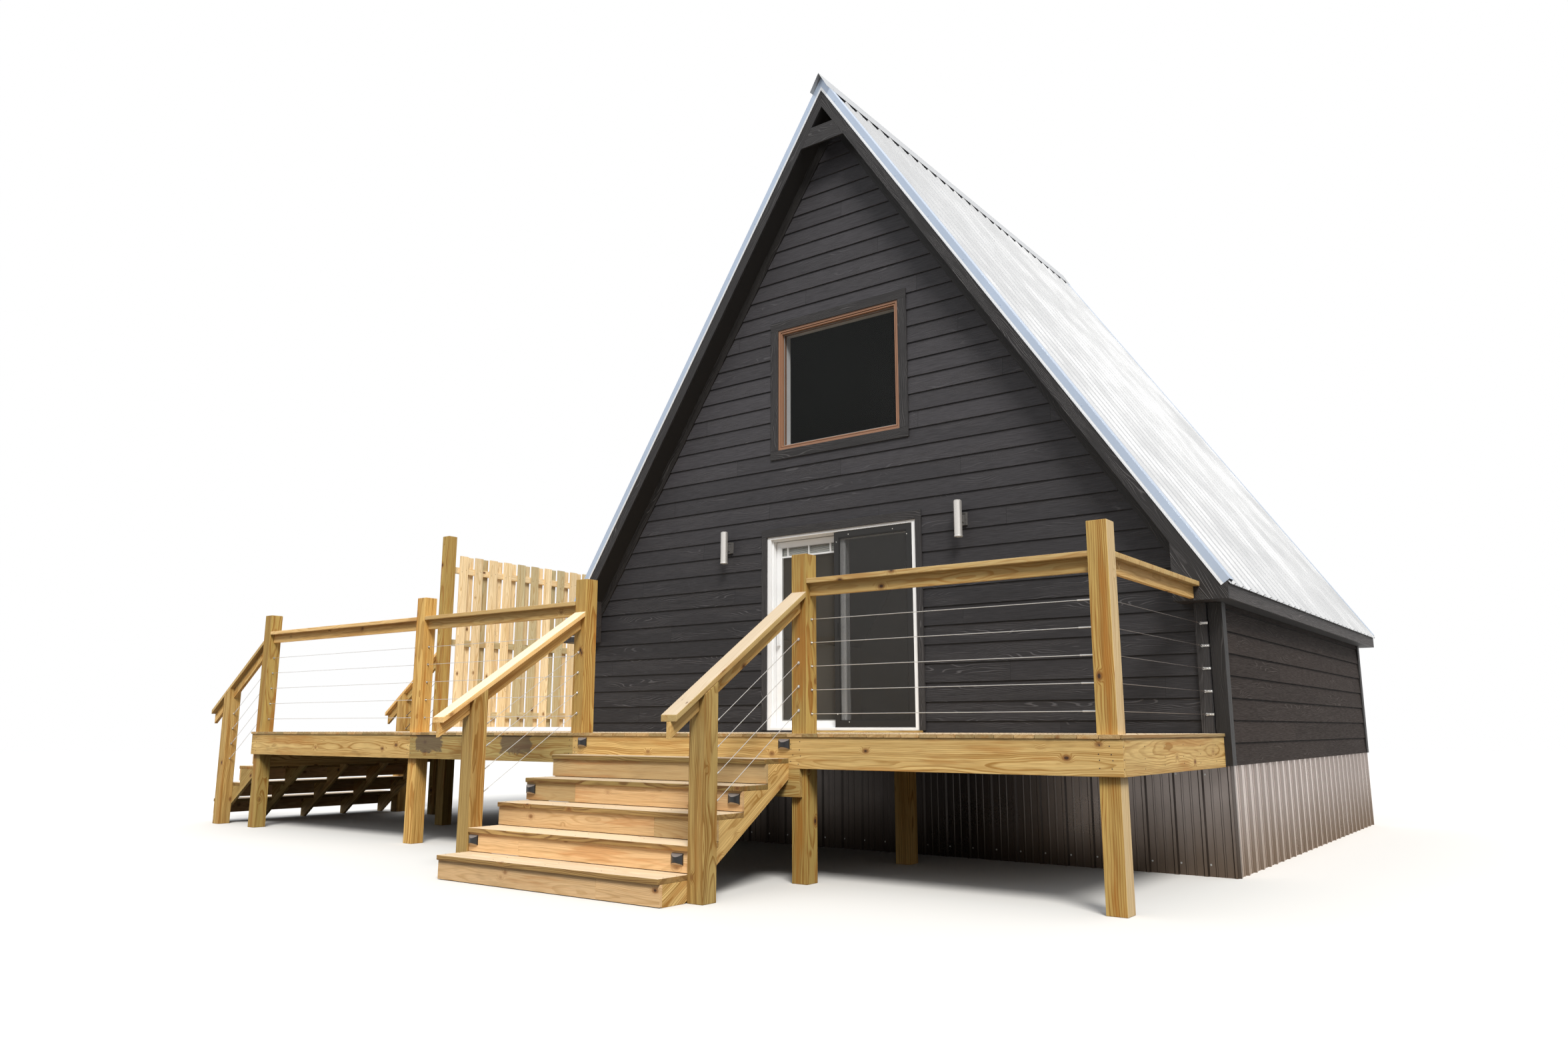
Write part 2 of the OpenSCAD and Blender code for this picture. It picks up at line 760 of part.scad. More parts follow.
module deck_frame() {
    inner_x0 = rim_x0 + lumber_t;
    inner_x1 = rim_x1 - lumber_t;
    joist_y0 = post_y0 + post_w + joist_pitch / 2;
    color("#b98a4e") {
        for (k = [0 : 2]) beam_x(rim_seams[k], rim_seams[k + 1], rim_y0);
        beam_y(post_y0, -trim_proud, inner_x1);
        beam_y(post_y0 + post_w, fence_y0, rim_x0);
        beam_y(fence_y0 + post_w, fence_y1, rim_x0);
        beam_x(rim_x0, -half_w - trim_proud, wing_y1 - lumber_t);
        beam_x(ledger_x + lumber_t, inner_x1, ledger_y);
        beam_y(ledger_y, wing_y1 - lumber_t, ledger_x);
        for (y = [joist_y0 : joist_pitch : ledger_y - lumber_t - 50]) beam_x(inner_x0, inner_x1, y);
        for (y = [ledger_y : joist_pitch : wing_y1 - 2 * lumber_t - 50])
            if (y + lumber_t < fence_y0 || y > fence_y0 + post_w && y + lumber_t < fence_y1)
                beam_x(inner_x0, ledger_x, y);
    }
}

module post(spot, z1) {
    block([spot[0], spot[1], 0], [spot[0] + post_w, spot[1] + post_w, z1]);
}

// Posts that rise through the decking, and short ones that stop under the joists
module deck_posts() {
    prop_x = (rim_x0 + ledger_x - post_w) / 2;
    prop_y = -prop_inset;
    color("#c4924f") {
        for (p = deck_spots) post(p, deck_top + post_rise);
        for (p = fence_spots) post(p, deck_top + fence_post_rise);
        for (x = [prop_x, -newel_left, newel_right]) post([x, prop_y], rim_z0);
        for (x = [prop_x, ledger_x - post_w]) post([x, fence_y1 - prop_inset], rim_z0);
    }
}

module cable_boards() {
    side = (post_w - cable_board_w) / 2;
    color("#2f2f30") {
        block([corner_x + side, -lumber_t, deck_top], [corner_x + post_w - side, 0, soffit_z]);
        block([-half_w - lumber_t, fence_y1 + side, deck_top], [-half_w, fence_y1 + post_w - side, soffit_z]);
    }
}

// Level bays: where each starts, its turn about Z, the length of its cables, and how far its cap and its
// sub-rail fall short of that length, because they end at the roof's edge
bays = [
    [[rim_x0 + post_w, post_y0, 0], 0, -bay_post - rim_x0 - post_w, 0, 0],
    [[-bay_post + post_w, post_y0, 0], 0, bay_post - newel_left - post_w, 0, 0],
    [[newel_right + post_w, post_y0, 0], 0, corner_x - newel_right - post_w, 0, 0],
    [[rim_x0 + post_w, fence_y1, 0], 0, -half_w - lumber_t - rim_x0 - post_w,
        eave_out + drip + metal_t - lumber_t, eave_out - lumber_t],
    [[corner_x + post_w, post_y0 + post_w, 0], 90, -lumber_t - post_y0 - post_w,
        front_rake - lumber_t, front_rake - lumber_t]
];

module each_bay() {
    for (bay = bays) translate(bay[0]) rotate([0, 0, bay[1]]) {
        $bay_l = bay[2];
        $cap_l = bay[2] - bay[3];
        $sub_l = bay[2] - bay[4];
        children();
    }
}

// Flights: where each starts, its turn about Z, rise, treads, width, lower post and start of handrail.
// A flight's own +X leads away from the deck, and its own +Y runs along the treads.
flights = [
    [[-newel_left + post_w, rim_y0, 0], -90, main_rise, main_treads, main_w, main_newel, -lumber_t,
        main_slit],
    [[rim_x0, fence_y0, 0], 180, side_rise, side_treads, side_w, side_newel, 0, side_slit]
];

module each_flight() {
    for (flight = flights) translate(flight[0]) rotate([0, 0, flight[1]]) {
        $rise = flight[2];
        $treads = flight[3];
        $width = flight[4];
        $newel = flight[5];
        $start = flight[6];
        $slit = flight[7];
        $pitch = atan(flight[2] / tread_run);
        children();
    }
}

// Both ends of a flight, where its posts, handrails and cables stand
module both_strings() {
    for (y = [-post_w, $width]) translate([0, y, 0]) children();
}

function tread_z(k, rise) = deck_top - k * rise;
function handrail_z(x, start, pitch) = deck_top + handrail_rise - (x - start) * tan(pitch);

// Board of a handrail between x0 and x1: plumb-cut, with its top at a depth under the cap's top
module sloped_board(x0, x1, depth, height, width) {
    drop0 = depth / cos($pitch);
    drop1 = (depth + height) / cos($pitch);
    top0 = handrail_z(x0, $start, $pitch);
    top1 = handrail_z(x1, $start, $pitch);
    translate([0, (post_w - width) / 2, 0]) wall_prism(0, width)
        polygon([[x0, top0 - drop0], [x1, top1 - drop0], [x1, top1 - drop1], [x0, top0 - drop1]]);
}

module rail_caps() {
    color("#d8b27a") {
        each_bay() block([0, 0, cap_z], [$cap_l, post_w, cap_z + lumber_t]);
        each_flight() both_strings()
            sloped_board($start, $newel + post_w + handrail_tail, 0, lumber_t, post_w);
    }
}

module sub_rails() {
    side = (post_w - lumber_t) / 2;
    color("#cf9f60") {
        each_bay() block([0, side, cap_z - subrail_h], [$sub_l, side + lumber_t, cap_z]);
        each_flight() both_strings() {
            sloped_board($start, $newel, lumber_t + seat, subrail_h, lumber_t);
            sloped_board($newel + post_w, $newel + post_w + handrail_tail, lumber_t + seat, subrail_h, lumber_t);
        }
    }
}

// Taut cable along +X with a swaged end at its far end
module cable(length) {
    rotate([0, 90, 0]) rotate_extrude() polygon([[0, 0], [cable_r, 0], [cable_r, length - swage_l],
        [swage_r, length - swage_l], [swage_r, length], [0, length]]);
}

module rail_cables() {
    color("#c9ccd0") each_bay() for (k = [0 : cable_n - 1])
        translate([0, post_w / 2, deck_top + cable_first + k * cable_pitch]) cable($bay_l);
}

// A sloping cable stops short of each post by what its square end takes up
module stair_cables() {
    color("#c9ccd0") each_flight() both_strings() for (k = [0 : stair_cable_n - 1]) {
        end = swage_r * tan($pitch);
        translate([$start, post_w / 2, deck_top + stair_cable_first + k * cable_pitch])
            rotate([0, $pitch, 0]) translate([end, 0, 0]) cable(($newel - $start) / cos($pitch) - 2 * end);
    }
}

// Cut stringer: its upper edge is stepped for treads and risers, and its foot stands on the ground
module stringer(y) {
    last = $treads * tread_run - riser_t;
    steps = [for (k = [1 : $treads]) each [
        [max((k - 1) * tread_run - riser_t, 0), tread_z(k, $rise) - lumber_t],
        [k * tread_run - riser_t, tread_z(k, $rise) - lumber_t]]];
    tip = tread_z(1, $rise) - lumber_t + (tread_run - riser_t) * tan($pitch);
    back = tip - stringer_h / cos($pitch);
    translate([0, y, 0]) wall_prism(0, lumber_t)
        polygon(concat(steps, [[last, 0], [back / tan($pitch), 0], [0, back]]));
}

module stair_stringers() {
    color("#b5854a") each_flight() for (k = [0 : stringer_n - 1])
        stringer(k * ($width - lumber_t) / (stringer_n - 1));
}

// Headers under the rim take the heads of the stringers
module stair_headers() {
    color("#b98a4e") each_flight()
        block([-lumber_t, 0, rim_z0 - header_h], [0, $width, rim_z0]);
}

module stair_treads() {
    color("#dcb987") each_flight() for (k = [1 : $treads])
        block([max((k - 1) * tread_run - riser_t, 0), 0, tread_z(k, $rise) - lumber_t],
            [k * tread_run + nosing, $width, tread_z(k, $rise)]);
}

// All risers but the first are two boards that meet on a stringer, by turns on the left and on the right
module stair_risers() {
    color("#cf9f60") each_flight() for (k = [1 : $treads]) {
        nth = k % 2 == 0 ? 1 : stringer_n - 2;
        seam = nth * ($width - lumber_t) / (stringer_n - 1) + lumber_t / 2;
        for (y = k == 1 ? [[0, $width]] : [[0, seam - butt], [seam + butt, $width]])
            block([k * tread_run - riser_t, y[0], tread_z(k + 1, $rise) + $slit],
                [k * tread_run, y[1], tread_z(k, $rise) - lumber_t]);
    }
}

// Lower posts, cut off to the slope under the handrail's cap
module stair_posts() {
    color("#c4924f") each_flight() both_strings() {
        drop = (lumber_t + seat) / cos($pitch);
        far = $newel + post_w;
        wall_prism(0, post_w) polygon([[$newel, 0], [far, 0], [far, handrail_z(far, $start, $pitch) - drop],
            [$newel, handrail_z($newel, $start, $pitch) - drop]]);
    }
}

// Hood of a step light: its front is bowed in plan, and its lower edge is arched over the lamp
module light_hood() {
    bow = [for (k = [0 : 10]) [12 + 22 * sin(18 * k), light_w * k / 10]];
    arch = light_w * 0.63;
    difference() {
        linear_extrude(light_h) polygon(concat([[0, 0]], bow, [[0, light_w]]));
        translate([8, light_w / 2, 15 - arch]) rotate([0, 90, 0]) cylinder(r = arch, h = 40, $fn = 64);
    }
}

// Lights at both ends of the rim and of every second riser of the main stair
module step_lights() {
    inset = 8;
    flight = flights[0];
    color("#161616") translate(flight[0]) rotate([0, 0, flight[1]])
        for (k = [0 : 2 : main_treads], y = [inset, main_w - inset - light_w]) {
            top = tread_z(k, main_rise) - (k > 0 ? lumber_t : board_t) - 8;
            translate([k * tread_run, y, top - light_h]) light_hood();
        }
}

// Fence: rails between its posts, with pickets on both faces, staggered

module fence_rails() {
    side = (post_w - lumber_t) / 2;
    color("#e2c894") for (z = [180, picket_rise / 2 - 50, picket_rise - 255])
        block([rim_x0 + side, fence_y0 + post_w, deck_top + z],
            [rim_x0 + side + lumber_t, fence_y1, deck_top + z + fence_rail_h]);
}

module picket_row(x, first) {
    for (y = [fence_y0 + post_w + first : picket_pitch : fence_y1 - picket_w])
        block([x, y, deck_top + 60], [x + picket_t, y + picket_w, deck_top + picket_rise]);
}

module fence_pickets() {
    side = (post_w - lumber_t) / 2;
    color("#ecd6a6") {
        picket_row(rim_x0 + side + lumber_t, picket_pitch / 2 - 30);
        picket_row(rim_x0 + side - picket_t, picket_pitch - 30);
    }
}

cabin_floor();
floor_boards();
floor_piers();
front_wall_left();
front_wall_right();
front_gable();
back_gable();
knee_walls();
front_siding();
back_siding();
side_siding();
skirts();
roof_left();
roof_right();
roof_sheets();
ridge_cap();
rake_boards();
collar_boards();
rake_trims();
eave_boards();
corner_boards();
casings();
door_jambs();
door_sill_and_head();
fixed_door_panel();
sliding_door_panel();
screen_door();
front_window();
back_window();
wall_lights();
decking();
deck_frame();
deck_posts();
cable_boards();
rail_caps();
sub_rails();
rail_cables();
stair_stringers();
stair_headers();
stair_treads();
stair_risers();
stair_posts();
stair_cables();
step_lights();
fence_rails();
fence_pickets();
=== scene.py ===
# %% [markdown]
# # Dressing an A-frame cabin and its timber deck
# The solids of this cabin come from CAD: walls, roof, deck, stairs, railings and fence are all in place, in metres.
# This notebook gives them the looks of the real thing. It rounds the edges of the lumber, lays wood grain along every
# board, embosses the siding, and adds what is too small or too repetitive for CAD, such as screws and cable fittings.
# The first cell loads the solids, with a small function that measures the box of any one of them. Nothing may grow
# out of it.

import math

import bmesh
import bpy
import numpy as np
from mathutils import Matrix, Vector


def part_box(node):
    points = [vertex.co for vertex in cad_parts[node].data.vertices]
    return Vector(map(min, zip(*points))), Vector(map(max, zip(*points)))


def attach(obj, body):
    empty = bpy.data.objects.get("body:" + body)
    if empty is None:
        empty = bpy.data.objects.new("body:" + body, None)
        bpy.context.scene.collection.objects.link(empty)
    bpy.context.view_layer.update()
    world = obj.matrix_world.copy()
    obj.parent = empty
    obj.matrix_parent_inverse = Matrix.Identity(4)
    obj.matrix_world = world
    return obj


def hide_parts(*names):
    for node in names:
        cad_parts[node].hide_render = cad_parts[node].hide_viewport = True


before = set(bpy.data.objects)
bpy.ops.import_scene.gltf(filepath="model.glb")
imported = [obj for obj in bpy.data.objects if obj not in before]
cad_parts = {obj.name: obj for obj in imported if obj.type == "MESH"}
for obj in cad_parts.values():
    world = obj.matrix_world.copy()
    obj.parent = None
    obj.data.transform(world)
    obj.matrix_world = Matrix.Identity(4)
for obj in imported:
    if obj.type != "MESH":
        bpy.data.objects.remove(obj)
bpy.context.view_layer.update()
scene = bpy.context.scene

# %% [markdown]
# ## Where the camera stands
# The lines of the siding, the deck and the roof give the camera exactly: a wide lens at eye height on the ground to
# the right, turned to the left and tipped up. A camera that is level would keep the posts parallel, but this one
# lets them lean, so the tilt belongs to the likeness.

# %% Camera
PHOTO_WIDTH = 2352
FOCAL_PIXELS = 1633.44
SENSOR_WIDTH = 36
CAMERA_PLACE = (6.090, -9.086, 1.1395)
TIPPED_UP, TURNED_LEFT = 0.1869, 0.6405

camera_data = bpy.data.cameras.new("Camera")
camera_data.sensor_width = SENSOR_WIDTH
camera_data.lens = SENSOR_WIDTH * FOCAL_PIXELS / PHOTO_WIDTH
camera_data.clip_start, camera_data.clip_end = 0.1, 400
camera = bpy.data.objects.new("Camera", camera_data)
camera.location = CAMERA_PLACE
camera.rotation_euler = (math.pi / 2 + TIPPED_UP, 0, TURNED_LEFT)
scene.collection.objects.link(camera)
scene.camera = camera
scene.view_settings.view_transform = "Standard"
print("lens:", round(camera_data.lens, 2), "mm")

# %% [markdown]
# ## Building node trees line by line
# Materials and Geometry Nodes are both trees of nodes. One small class serves for both: it adds a node, sets what is
# plain and links what comes from another node, so a tree reads like a recipe.


# %% A helper for node trees
class Recipe:
    """Adds nodes to a tree. Values that are sockets get linked, all others are set."""

    def __init__(self, tree):
        self.tree = tree

    def __call__(self, kind, values=(), **settings):
        made = self.tree.nodes.new(kind)
        for name, value in settings.items():
            setattr(made, name, value)
        for key, value in dict(values).items():
            if isinstance(value, bpy.types.NodeSocket):
                self.tree.links.new(value, made.inputs[key])
            else:
                made.inputs[key].default_value = value
        return made

    def math(self, operation, *values, clamp=False):
        return self("ShaderNodeMath", enumerate(values), operation=operation, use_clamp=clamp).outputs[0]

    def vector(self, operation, *values):
        made = self("ShaderNodeVectorMath", enumerate(values), operation=operation)
        return made.outputs["Value" if operation == "LENGTH" else "Vector"]

    def xyz(self, x=0.0, y=0.0, z=0.0):
        return self("ShaderNodeCombineXYZ", {"X": x, "Y": y, "Z": z}).outputs[0]

    def split(self, vector):
        return self("ShaderNodeSeparateXYZ", {"Vector": vector}).outputs


# %% [markdown]
# ## Shader building blocks
# Every finish here is noise in a few sizes: large for uneven tone, stretched for grain, fine for bump. These helpers
# keep the recipes of the finishes short. Patterns are laid in metres on Object coordinates, so that a centimetre of
# grain is a centimetre on any piece.


# %% Helpers for finishes
class Finish(Recipe):
    """A material that is built line by line, with its shader and its coordinates at hand."""

    def __init__(self, name, colour=(0.8, 0.8, 0.8), roughness=0.5, **sockets):
        self.material = bpy.data.materials.new(name)
        self.material.use_nodes = True
        super().__init__(self.material.node_tree)
        self.shader = self.tree.nodes["Principled BSDF"]
        self.shader.inputs["Base Color"].default_value = (*colour, 1)
        self.shader.inputs["Roughness"].default_value = roughness
        for label, value in sockets.items():
            self.shader.inputs[label.replace("_", " ")].default_value = value
        self.place = self("ShaderNodeTexCoord").outputs["Object"]

    def scaled(self, vector, *factors):
        return self.vector("MULTIPLY", vector, factors)

    def noise(self, vector, scale=1.0, detail=2.0, rough=0.5):
        return self("ShaderNodeTexNoise", {"Vector": vector, "Scale": scale, "Detail": detail,
                                           "Roughness": rough}).outputs["Fac"]

    def band(self, value, low, high, to_low=0.0, to_high=1.0):
        """A value between low and high becomes one between to_low and to_high, with soft ends."""
        values = {"Value": value, "From Min": low, "From Max": high, "To Min": to_low, "To Max": to_high}
        return self("ShaderNodeMapRange", values, interpolation_type="SMOOTHSTEP").outputs["Result"]

    def channel(self, colour, index=0):
        """One channel of a colour that is random in each cell of a texture."""
        return self("ShaderNodeSeparateColor", {"Color": colour}).outputs[index]

    def mix(self, share, first, second, blend="MIX"):
        made = self("ShaderNodeMix", data_type="RGBA", blend_type=blend)
        for key, value in ((0, share), (6, first), (7, second)):
            if isinstance(value, bpy.types.NodeSocket):
                self.tree.links.new(value, made.inputs[key])
            else:
                made.inputs[key].default_value = value if key == 0 else (*value, 1)
        return made.outputs[2]

    def shade(self, colour, amount):
        """The colour made lighter or darker by a factor that is a socket."""
        factor = self("ShaderNodeCombineColor", {"Red": amount, "Green": amount, "Blue": amount}).outputs[0]
        return self.mix(1.0, colour, factor, "MULTIPLY")

    def use(self, colour=None, roughness=None, height=None, depth=0.001, strength=1.0):
        """Links what is given to the shader, the height as bump, and gives back the material."""
        links = self.tree.links
        if colour is not None:
            links.new(colour, self.shader.inputs["Base Color"])
        if roughness is not None:
            links.new(roughness, self.shader.inputs["Roughness"])
        if height is not None:
            bump = self("ShaderNodeBump", {"Height": height, "Distance": depth, "Strength": strength})
            links.new(bump.outputs["Normal"], self.shader.inputs["Normal"])
        return self.material


def times(colour, *factors):
    """A plain colour with its channels multiplied, by one factor or by three."""
    return tuple(c * factor for c, factor in zip(colour, factors * (3 // len(factors))))


# %% [markdown]
# ## Treated pine
# The deck is southern pine, pressure treated: amber latewood lines between pale earlywood, with a few knots. A
# texture of straight stripes never looks right, because a board is a cut through a cone of rings. So the finish
# measures how far each point lies from the middle of the log: long faces then show arches and streaks, and end faces
# show arcs. Each board carries its own place in a log in the attribute "grain", and its own tone in "tone". Knots
# come from the cells of a stretched texture, about one cell in three has one, and the rings bend round it.

# %% Knots and growth rings
KNOT_SHARE = 0.36
KNOT_ZONES = ((0.0, 0.32), (0.1, 0.18), (0.05, 0.1))
RING_WANDER = ((0.1, (0.8, 2.6, 2.6)), (0.014, (2.6, 13.0, 13.0)))
RING_BEND = 0.028


def knots(f, grain):
    """How near a point is to a knot, its brown halo, and its dark heart."""
    cell = f("ShaderNodeTexVoronoi", {"Vector": f.scaled(grain, 4.6, 7.2, 7.2), "Scale": 1.0})
    has_knot = f.math("LESS_THAN", f.channel(cell.outputs["Color"]), KNOT_SHARE)
    return [f.math("MULTIPLY", f.band(cell.outputs["Distance"], *zone, 1.0, 0.0), has_knot)
            for zone in KNOT_ZONES]


def growth_rings(f, grain, near, ring):
    """How far a point lies from the middle of the log, and the dark line at the end of each year."""
    radius = f.vector("LENGTH", f.vector("MULTIPLY", grain, (0, 1, 1)))
    for reach, stretch in RING_WANDER:
        wander = f.noise(f.scaled(grain, *stretch), 1.0, 2.0)
        radius = f.math("ADD", radius, f.math("MULTIPLY", wander, reach))
    radius = f.math("ADD", radius, f.math("MULTIPLY", near, RING_BEND))
    turn = f.math("FRACT", f.math("DIVIDE", radius, ring))
    return radius, f.math("MULTIPLY", f.band(turn, 0.45, 0.88), f.band(turn, 0.93, 1.0, 1.0, 0.0))


# %% [markdown]
# Weather, sawing and painted light change some faces more than others. Rain and shoes bleach what looks up, and
# such faces are also painted paler, as painted sky light. The right side of the corner post on the right is painted
# pale, as painted light from the right. Two old wet marks darken the rim of the deck. Each is a mask made of the
# direction of a face or of a place, and it is mixed in over the wood, so any pine can have it.

# %% Painted light on the right, bleached and painted tops, wet marks and nail holes
KNOT_BLEACHED_AND_LIT = (0.16, 0.08, 0.035)
WET = (0.085, 0.06, 0.042)


def painted_light_on_right(f, colour, depth, side):
    # Painted light: the right faces of the corner post, beyond x = 3 m, are made paler, as light from the right.
    right = f.band(f.split(f("ShaderNodeTexCoord").outputs["Normal"])[0], 0.4, 0.9, 0.0, 0.75)
    lit_side_colour = f.mix(f.math("MULTIPLY", depth, 0.6), side, times(side, 0.75, 0.66, 0.5))
    return f.mix(f.math("MULTIPLY", right, f.band(f.split(f.place)[0], 3.0, 3.1)), colour, lit_side_colour)


def bleach_and_light_on_top(f, colour, depth, heart, top):
    # Faces that look up are made paler: partly bleaching by rain and shoes, partly painted sky light.
    up = f.split(f("ShaderNodeTexCoord").outputs["Normal"])[2]
    bleach_and_light = f.mix(f.math("MULTIPLY", depth, 0.5), top, times(top, 0.7, 0.6, 0.46))
    bleach_and_light = f.mix(f.math("MULTIPLY", heart, 0.8), bleach_and_light, KNOT_BLEACHED_AND_LIT)
    return f.mix(f.band(up, 0.4, 0.9), colour, bleach_and_light)


def wet_marks(f, colour, marks):
    """Marks with ragged edges: (middle in X, half the width, middle in Z, half the height) of each."""
    x, y, z = f.split(f.place)
    ragged = f.math("MULTIPLY", f.noise(f.scaled(f.place, 9.0, 9.0, 26.0), 1.0, 3.0, 0.65), 0.16)
    for mark_x, wide, mark_z, tall in marks:
        beyond = f.math("SUBTRACT", f.math("ABSOLUTE", f.math("SUBTRACT", x, mark_x)), wide)
        above = f.math("SUBTRACT", f.math("ABSOLUTE", f.math("SUBTRACT", z, mark_z)), tall)
        edge = f.math("ADD", f.math("MAXIMUM", beyond, above), ragged)
        colour = f.mix(f.band(edge, 0.055, 0.085, 0.78, 0.0), colour, WET)
    return colour


def nail_holes(f, colour, share):
    dots = f("ShaderNodeTexVoronoi", {"Vector": f.place, "Scale": 11.0})
    spot = f.math("MULTIPLY", f.band(dots.outputs["Distance"], 0.028, 0.045, 1.0, 0.0),
                  f.math("LESS_THAN", f.channel(dots.outputs["Color"], 1), share))
    return f.mix(spot, colour, (0.06, 0.03, 0.015))


# %% [markdown]
# The finish itself starts with the pale earlywood, lays the amber latewood over it, then resin, fibre and knots. The
# settings are what differs between the pieces of one deck: how strong the rings are, how much resin shows, what the
# weather has done, and where light is painted in.

# %% Treated pine
KNOT_HALO, KNOT_HEART = (0.21, 0.085, 0.025), (0.05, 0.022, 0.01)
GREY_FILM = (0.33, 0.3, 0.25)


def pine(name, pale, amber, flame=(0.4, 0.165, 0.03), ring=0.0085, contrast=0.75, flames=0.5, top=None,
         side=None, grey=0.0, nails=0.0, stain=0.0, marks=()):
    f = Finish(name, amber, 0.62, Specular_IOR_Level=0.3)
    grain = f("ShaderNodeAttribute", attribute_name="grain").outputs["Vector"]
    tone = f("ShaderNodeAttribute", attribute_name="tone").outputs["Fac"]

    near, halo, heart = knots(f, grain)
    radius, late = growth_rings(f, grain, near, ring)
    years = f.noise(f.xyz(f.math("MULTIPLY", radius, 46.0), f.math("MULTIPLY", tone, 90.0), 0.0), 1.0, 1.0)

    # Streaks along the board: fine fibre, coarser streaks, and flames where the wood is rich in resin.
    fibre = f.noise(f.scaled(grain, 5.0, 320.0, 320.0), 1.0, 2.0, 0.6)
    streak = f.noise(f.scaled(grain, 1.6, 58.0, 58.0), 1.0, 2.0, 0.6)
    patch = f.noise(f.scaled(grain, 1.3, 6.0, 6.0), 1.0, 3.0)
    resin = f.noise(f.scaled(grain, 0.9, 10.0, 10.0), 1.0, 3.0, 0.6)

    depth = f.math("ADD", f.math("MULTIPLY", late, 0.8), f.band(years, 0.4, 0.66, 0.0, 0.5))
    depth = f.math("MULTIPLY", depth, f.band(patch, 0.3, 0.7, contrast * 0.5, contrast * 1.25))
    depth = f.math("ADD", depth, f.band(streak, 0.45, 0.75, 0.0, 0.42 * contrast), clamp=True)
    pale = f.mix(f.band(tone, 0.0, 0.6, 1.0, 0.0), pale, times(pale, 0.82, 0.9, 0.85))
    colour = f.mix(depth, pale, amber)
    colour = f.mix(f.band(resin, 0.54, 0.66, 0.0, flames), colour, flame)
    colour = f.mix(f.band(fibre, 0.42, 0.75, 0.0, 0.42), colour, times(amber, 0.55))
    colour = f.mix(f.math("MULTIPLY", near, 0.5), colour, times(flame, 0.7))
    colour = f.mix(f.math("MULTIPLY", halo, 0.7), colour, KNOT_HALO)
    colour = f.mix(heart, colour, KNOT_HEART)
    # Painted light on the right face of the corner post.
    if side:
        colour = painted_light_on_right(f, colour, depth, side)
    # Paler tops: bleaching and painted sky light.
    if top:
        colour = bleach_and_light_on_top(f, colour, depth, heart, top)
    lightness = f.math("ADD", f.math("MULTIPLY", tone, 0.7), f.math("MULTIPLY", patch, 0.6))
    colour = f.shade(colour, f.band(lightness, 0.1, 1.2, 0.7, 1.22))
    if grey:
        film = f.band(f.noise(f.scaled(grain, 2.0, 20.0, 20.0), 1.0, 4.0), 0.4, 0.75, 0.0, grey)
        colour = f.mix(film, colour, GREY_FILM)
    if stain:
        wet = f.noise(f.scaled(grain, 1.1, 3.5, 3.5), 1.0, 4.0, 0.65)
        colour = f.mix(f.band(wet, 0.58, 0.7, 0.0, stain), colour, times(amber, 0.5))
    if marks:
        colour = wet_marks(f, colour, marks)
    if nails:
        colour = nail_holes(f, colour, nails)
    height = f.math("ADD", f.math("MULTIPLY", late, 0.6), f.math("MULTIPLY", fibre, 0.7))
    return f.use(colour, f.band(fibre, 0.2, 0.8, 0.56, 0.74), height, 0.0006, 0.6)


# %% The pines of this cabin
# CREAM is the colour of tops: bleached, and painted paler as sky light.
CREAM = (0.68, 0.54, 0.37)
RIM_MARKS = ((-2.1, 0.22, 1.0, 0.095), (-3.43, 0.22, 1.0, 0.095))
PINE_DECK = pine("Treated pine, deck", (0.72, 0.5, 0.2), (0.36, 0.19, 0.045), contrast=0.85, nails=0.3,
                 stain=0.5, marks=RIM_MARKS)
# The side colour of the posts is painted light on the right face of the corner post.
PINE_POST = pine("Treated pine, posts", (0.74, 0.47, 0.15), (0.36, 0.165, 0.03), (0.46, 0.19, 0.03),
                 ring=0.011, contrast=0.95, flames=0.7, side=(0.82, 0.64, 0.38))
PINE_NEWEL = pine("Treated pine, newels", (0.6, 0.405, 0.145), (0.27, 0.135, 0.028), (0.36, 0.16, 0.03),
                  ring=0.009, contrast=1.0, flames=0.5)
PINE_STAIR = pine("Treated pine, stairs", (0.72, 0.48, 0.25), (0.44, 0.25, 0.09), (0.52, 0.25, 0.09),
                  contrast=0.5, flames=0.6, stain=0.3)
PINE_RAIL = pine("Treated pine, rails", (0.88, 0.58, 0.23), (0.56, 0.29, 0.075), contrast=0.9)
PINE_CAP = pine("Treated pine, handrails", (0.84, 0.57, 0.26), (0.54, 0.3, 0.085), contrast=0.7,
                top=(0.7, 0.57, 0.41))
# The treads' darker other faces are partly stain, partly painted shade.
PINE_TREAD = pine("Treated pine, treads", (0.44, 0.28, 0.1), (0.16, 0.075, 0.02), contrast=1.0, top=CREAM)
PINE_DECKING = pine("Treated pine, deck boards", (0.6, 0.42, 0.2), (0.3, 0.16, 0.05), contrast=0.8, top=CREAM)
PINE_FENCE = pine("New pine, fence", (0.84, 0.67, 0.42), (0.54, 0.35, 0.14), (0.55, 0.33, 0.13), contrast=0.7,
                  flames=0.4)
PINE_ROUGH = pine("Rough pine under cover", (0.42, 0.3, 0.18), (0.22, 0.13, 0.06), grey=0.5)
print("pine finishes:", [m.name for m in bpy.data.materials if "pine" in m.name])

# %% [markdown]
# ## Charcoal siding
# The siding is a board of pressed wood strands with a cedar grain embossed in its face, painted charcoal. The grain
# shows only in patches, as thin pale lines that run along the board and close into arches: worn paint on the ridges,
# and a painted highlight on them. An image could hold such a pattern, but the contours of a slow noise give the same
# arches at any size, and a second noise decides where the ridges are pale.


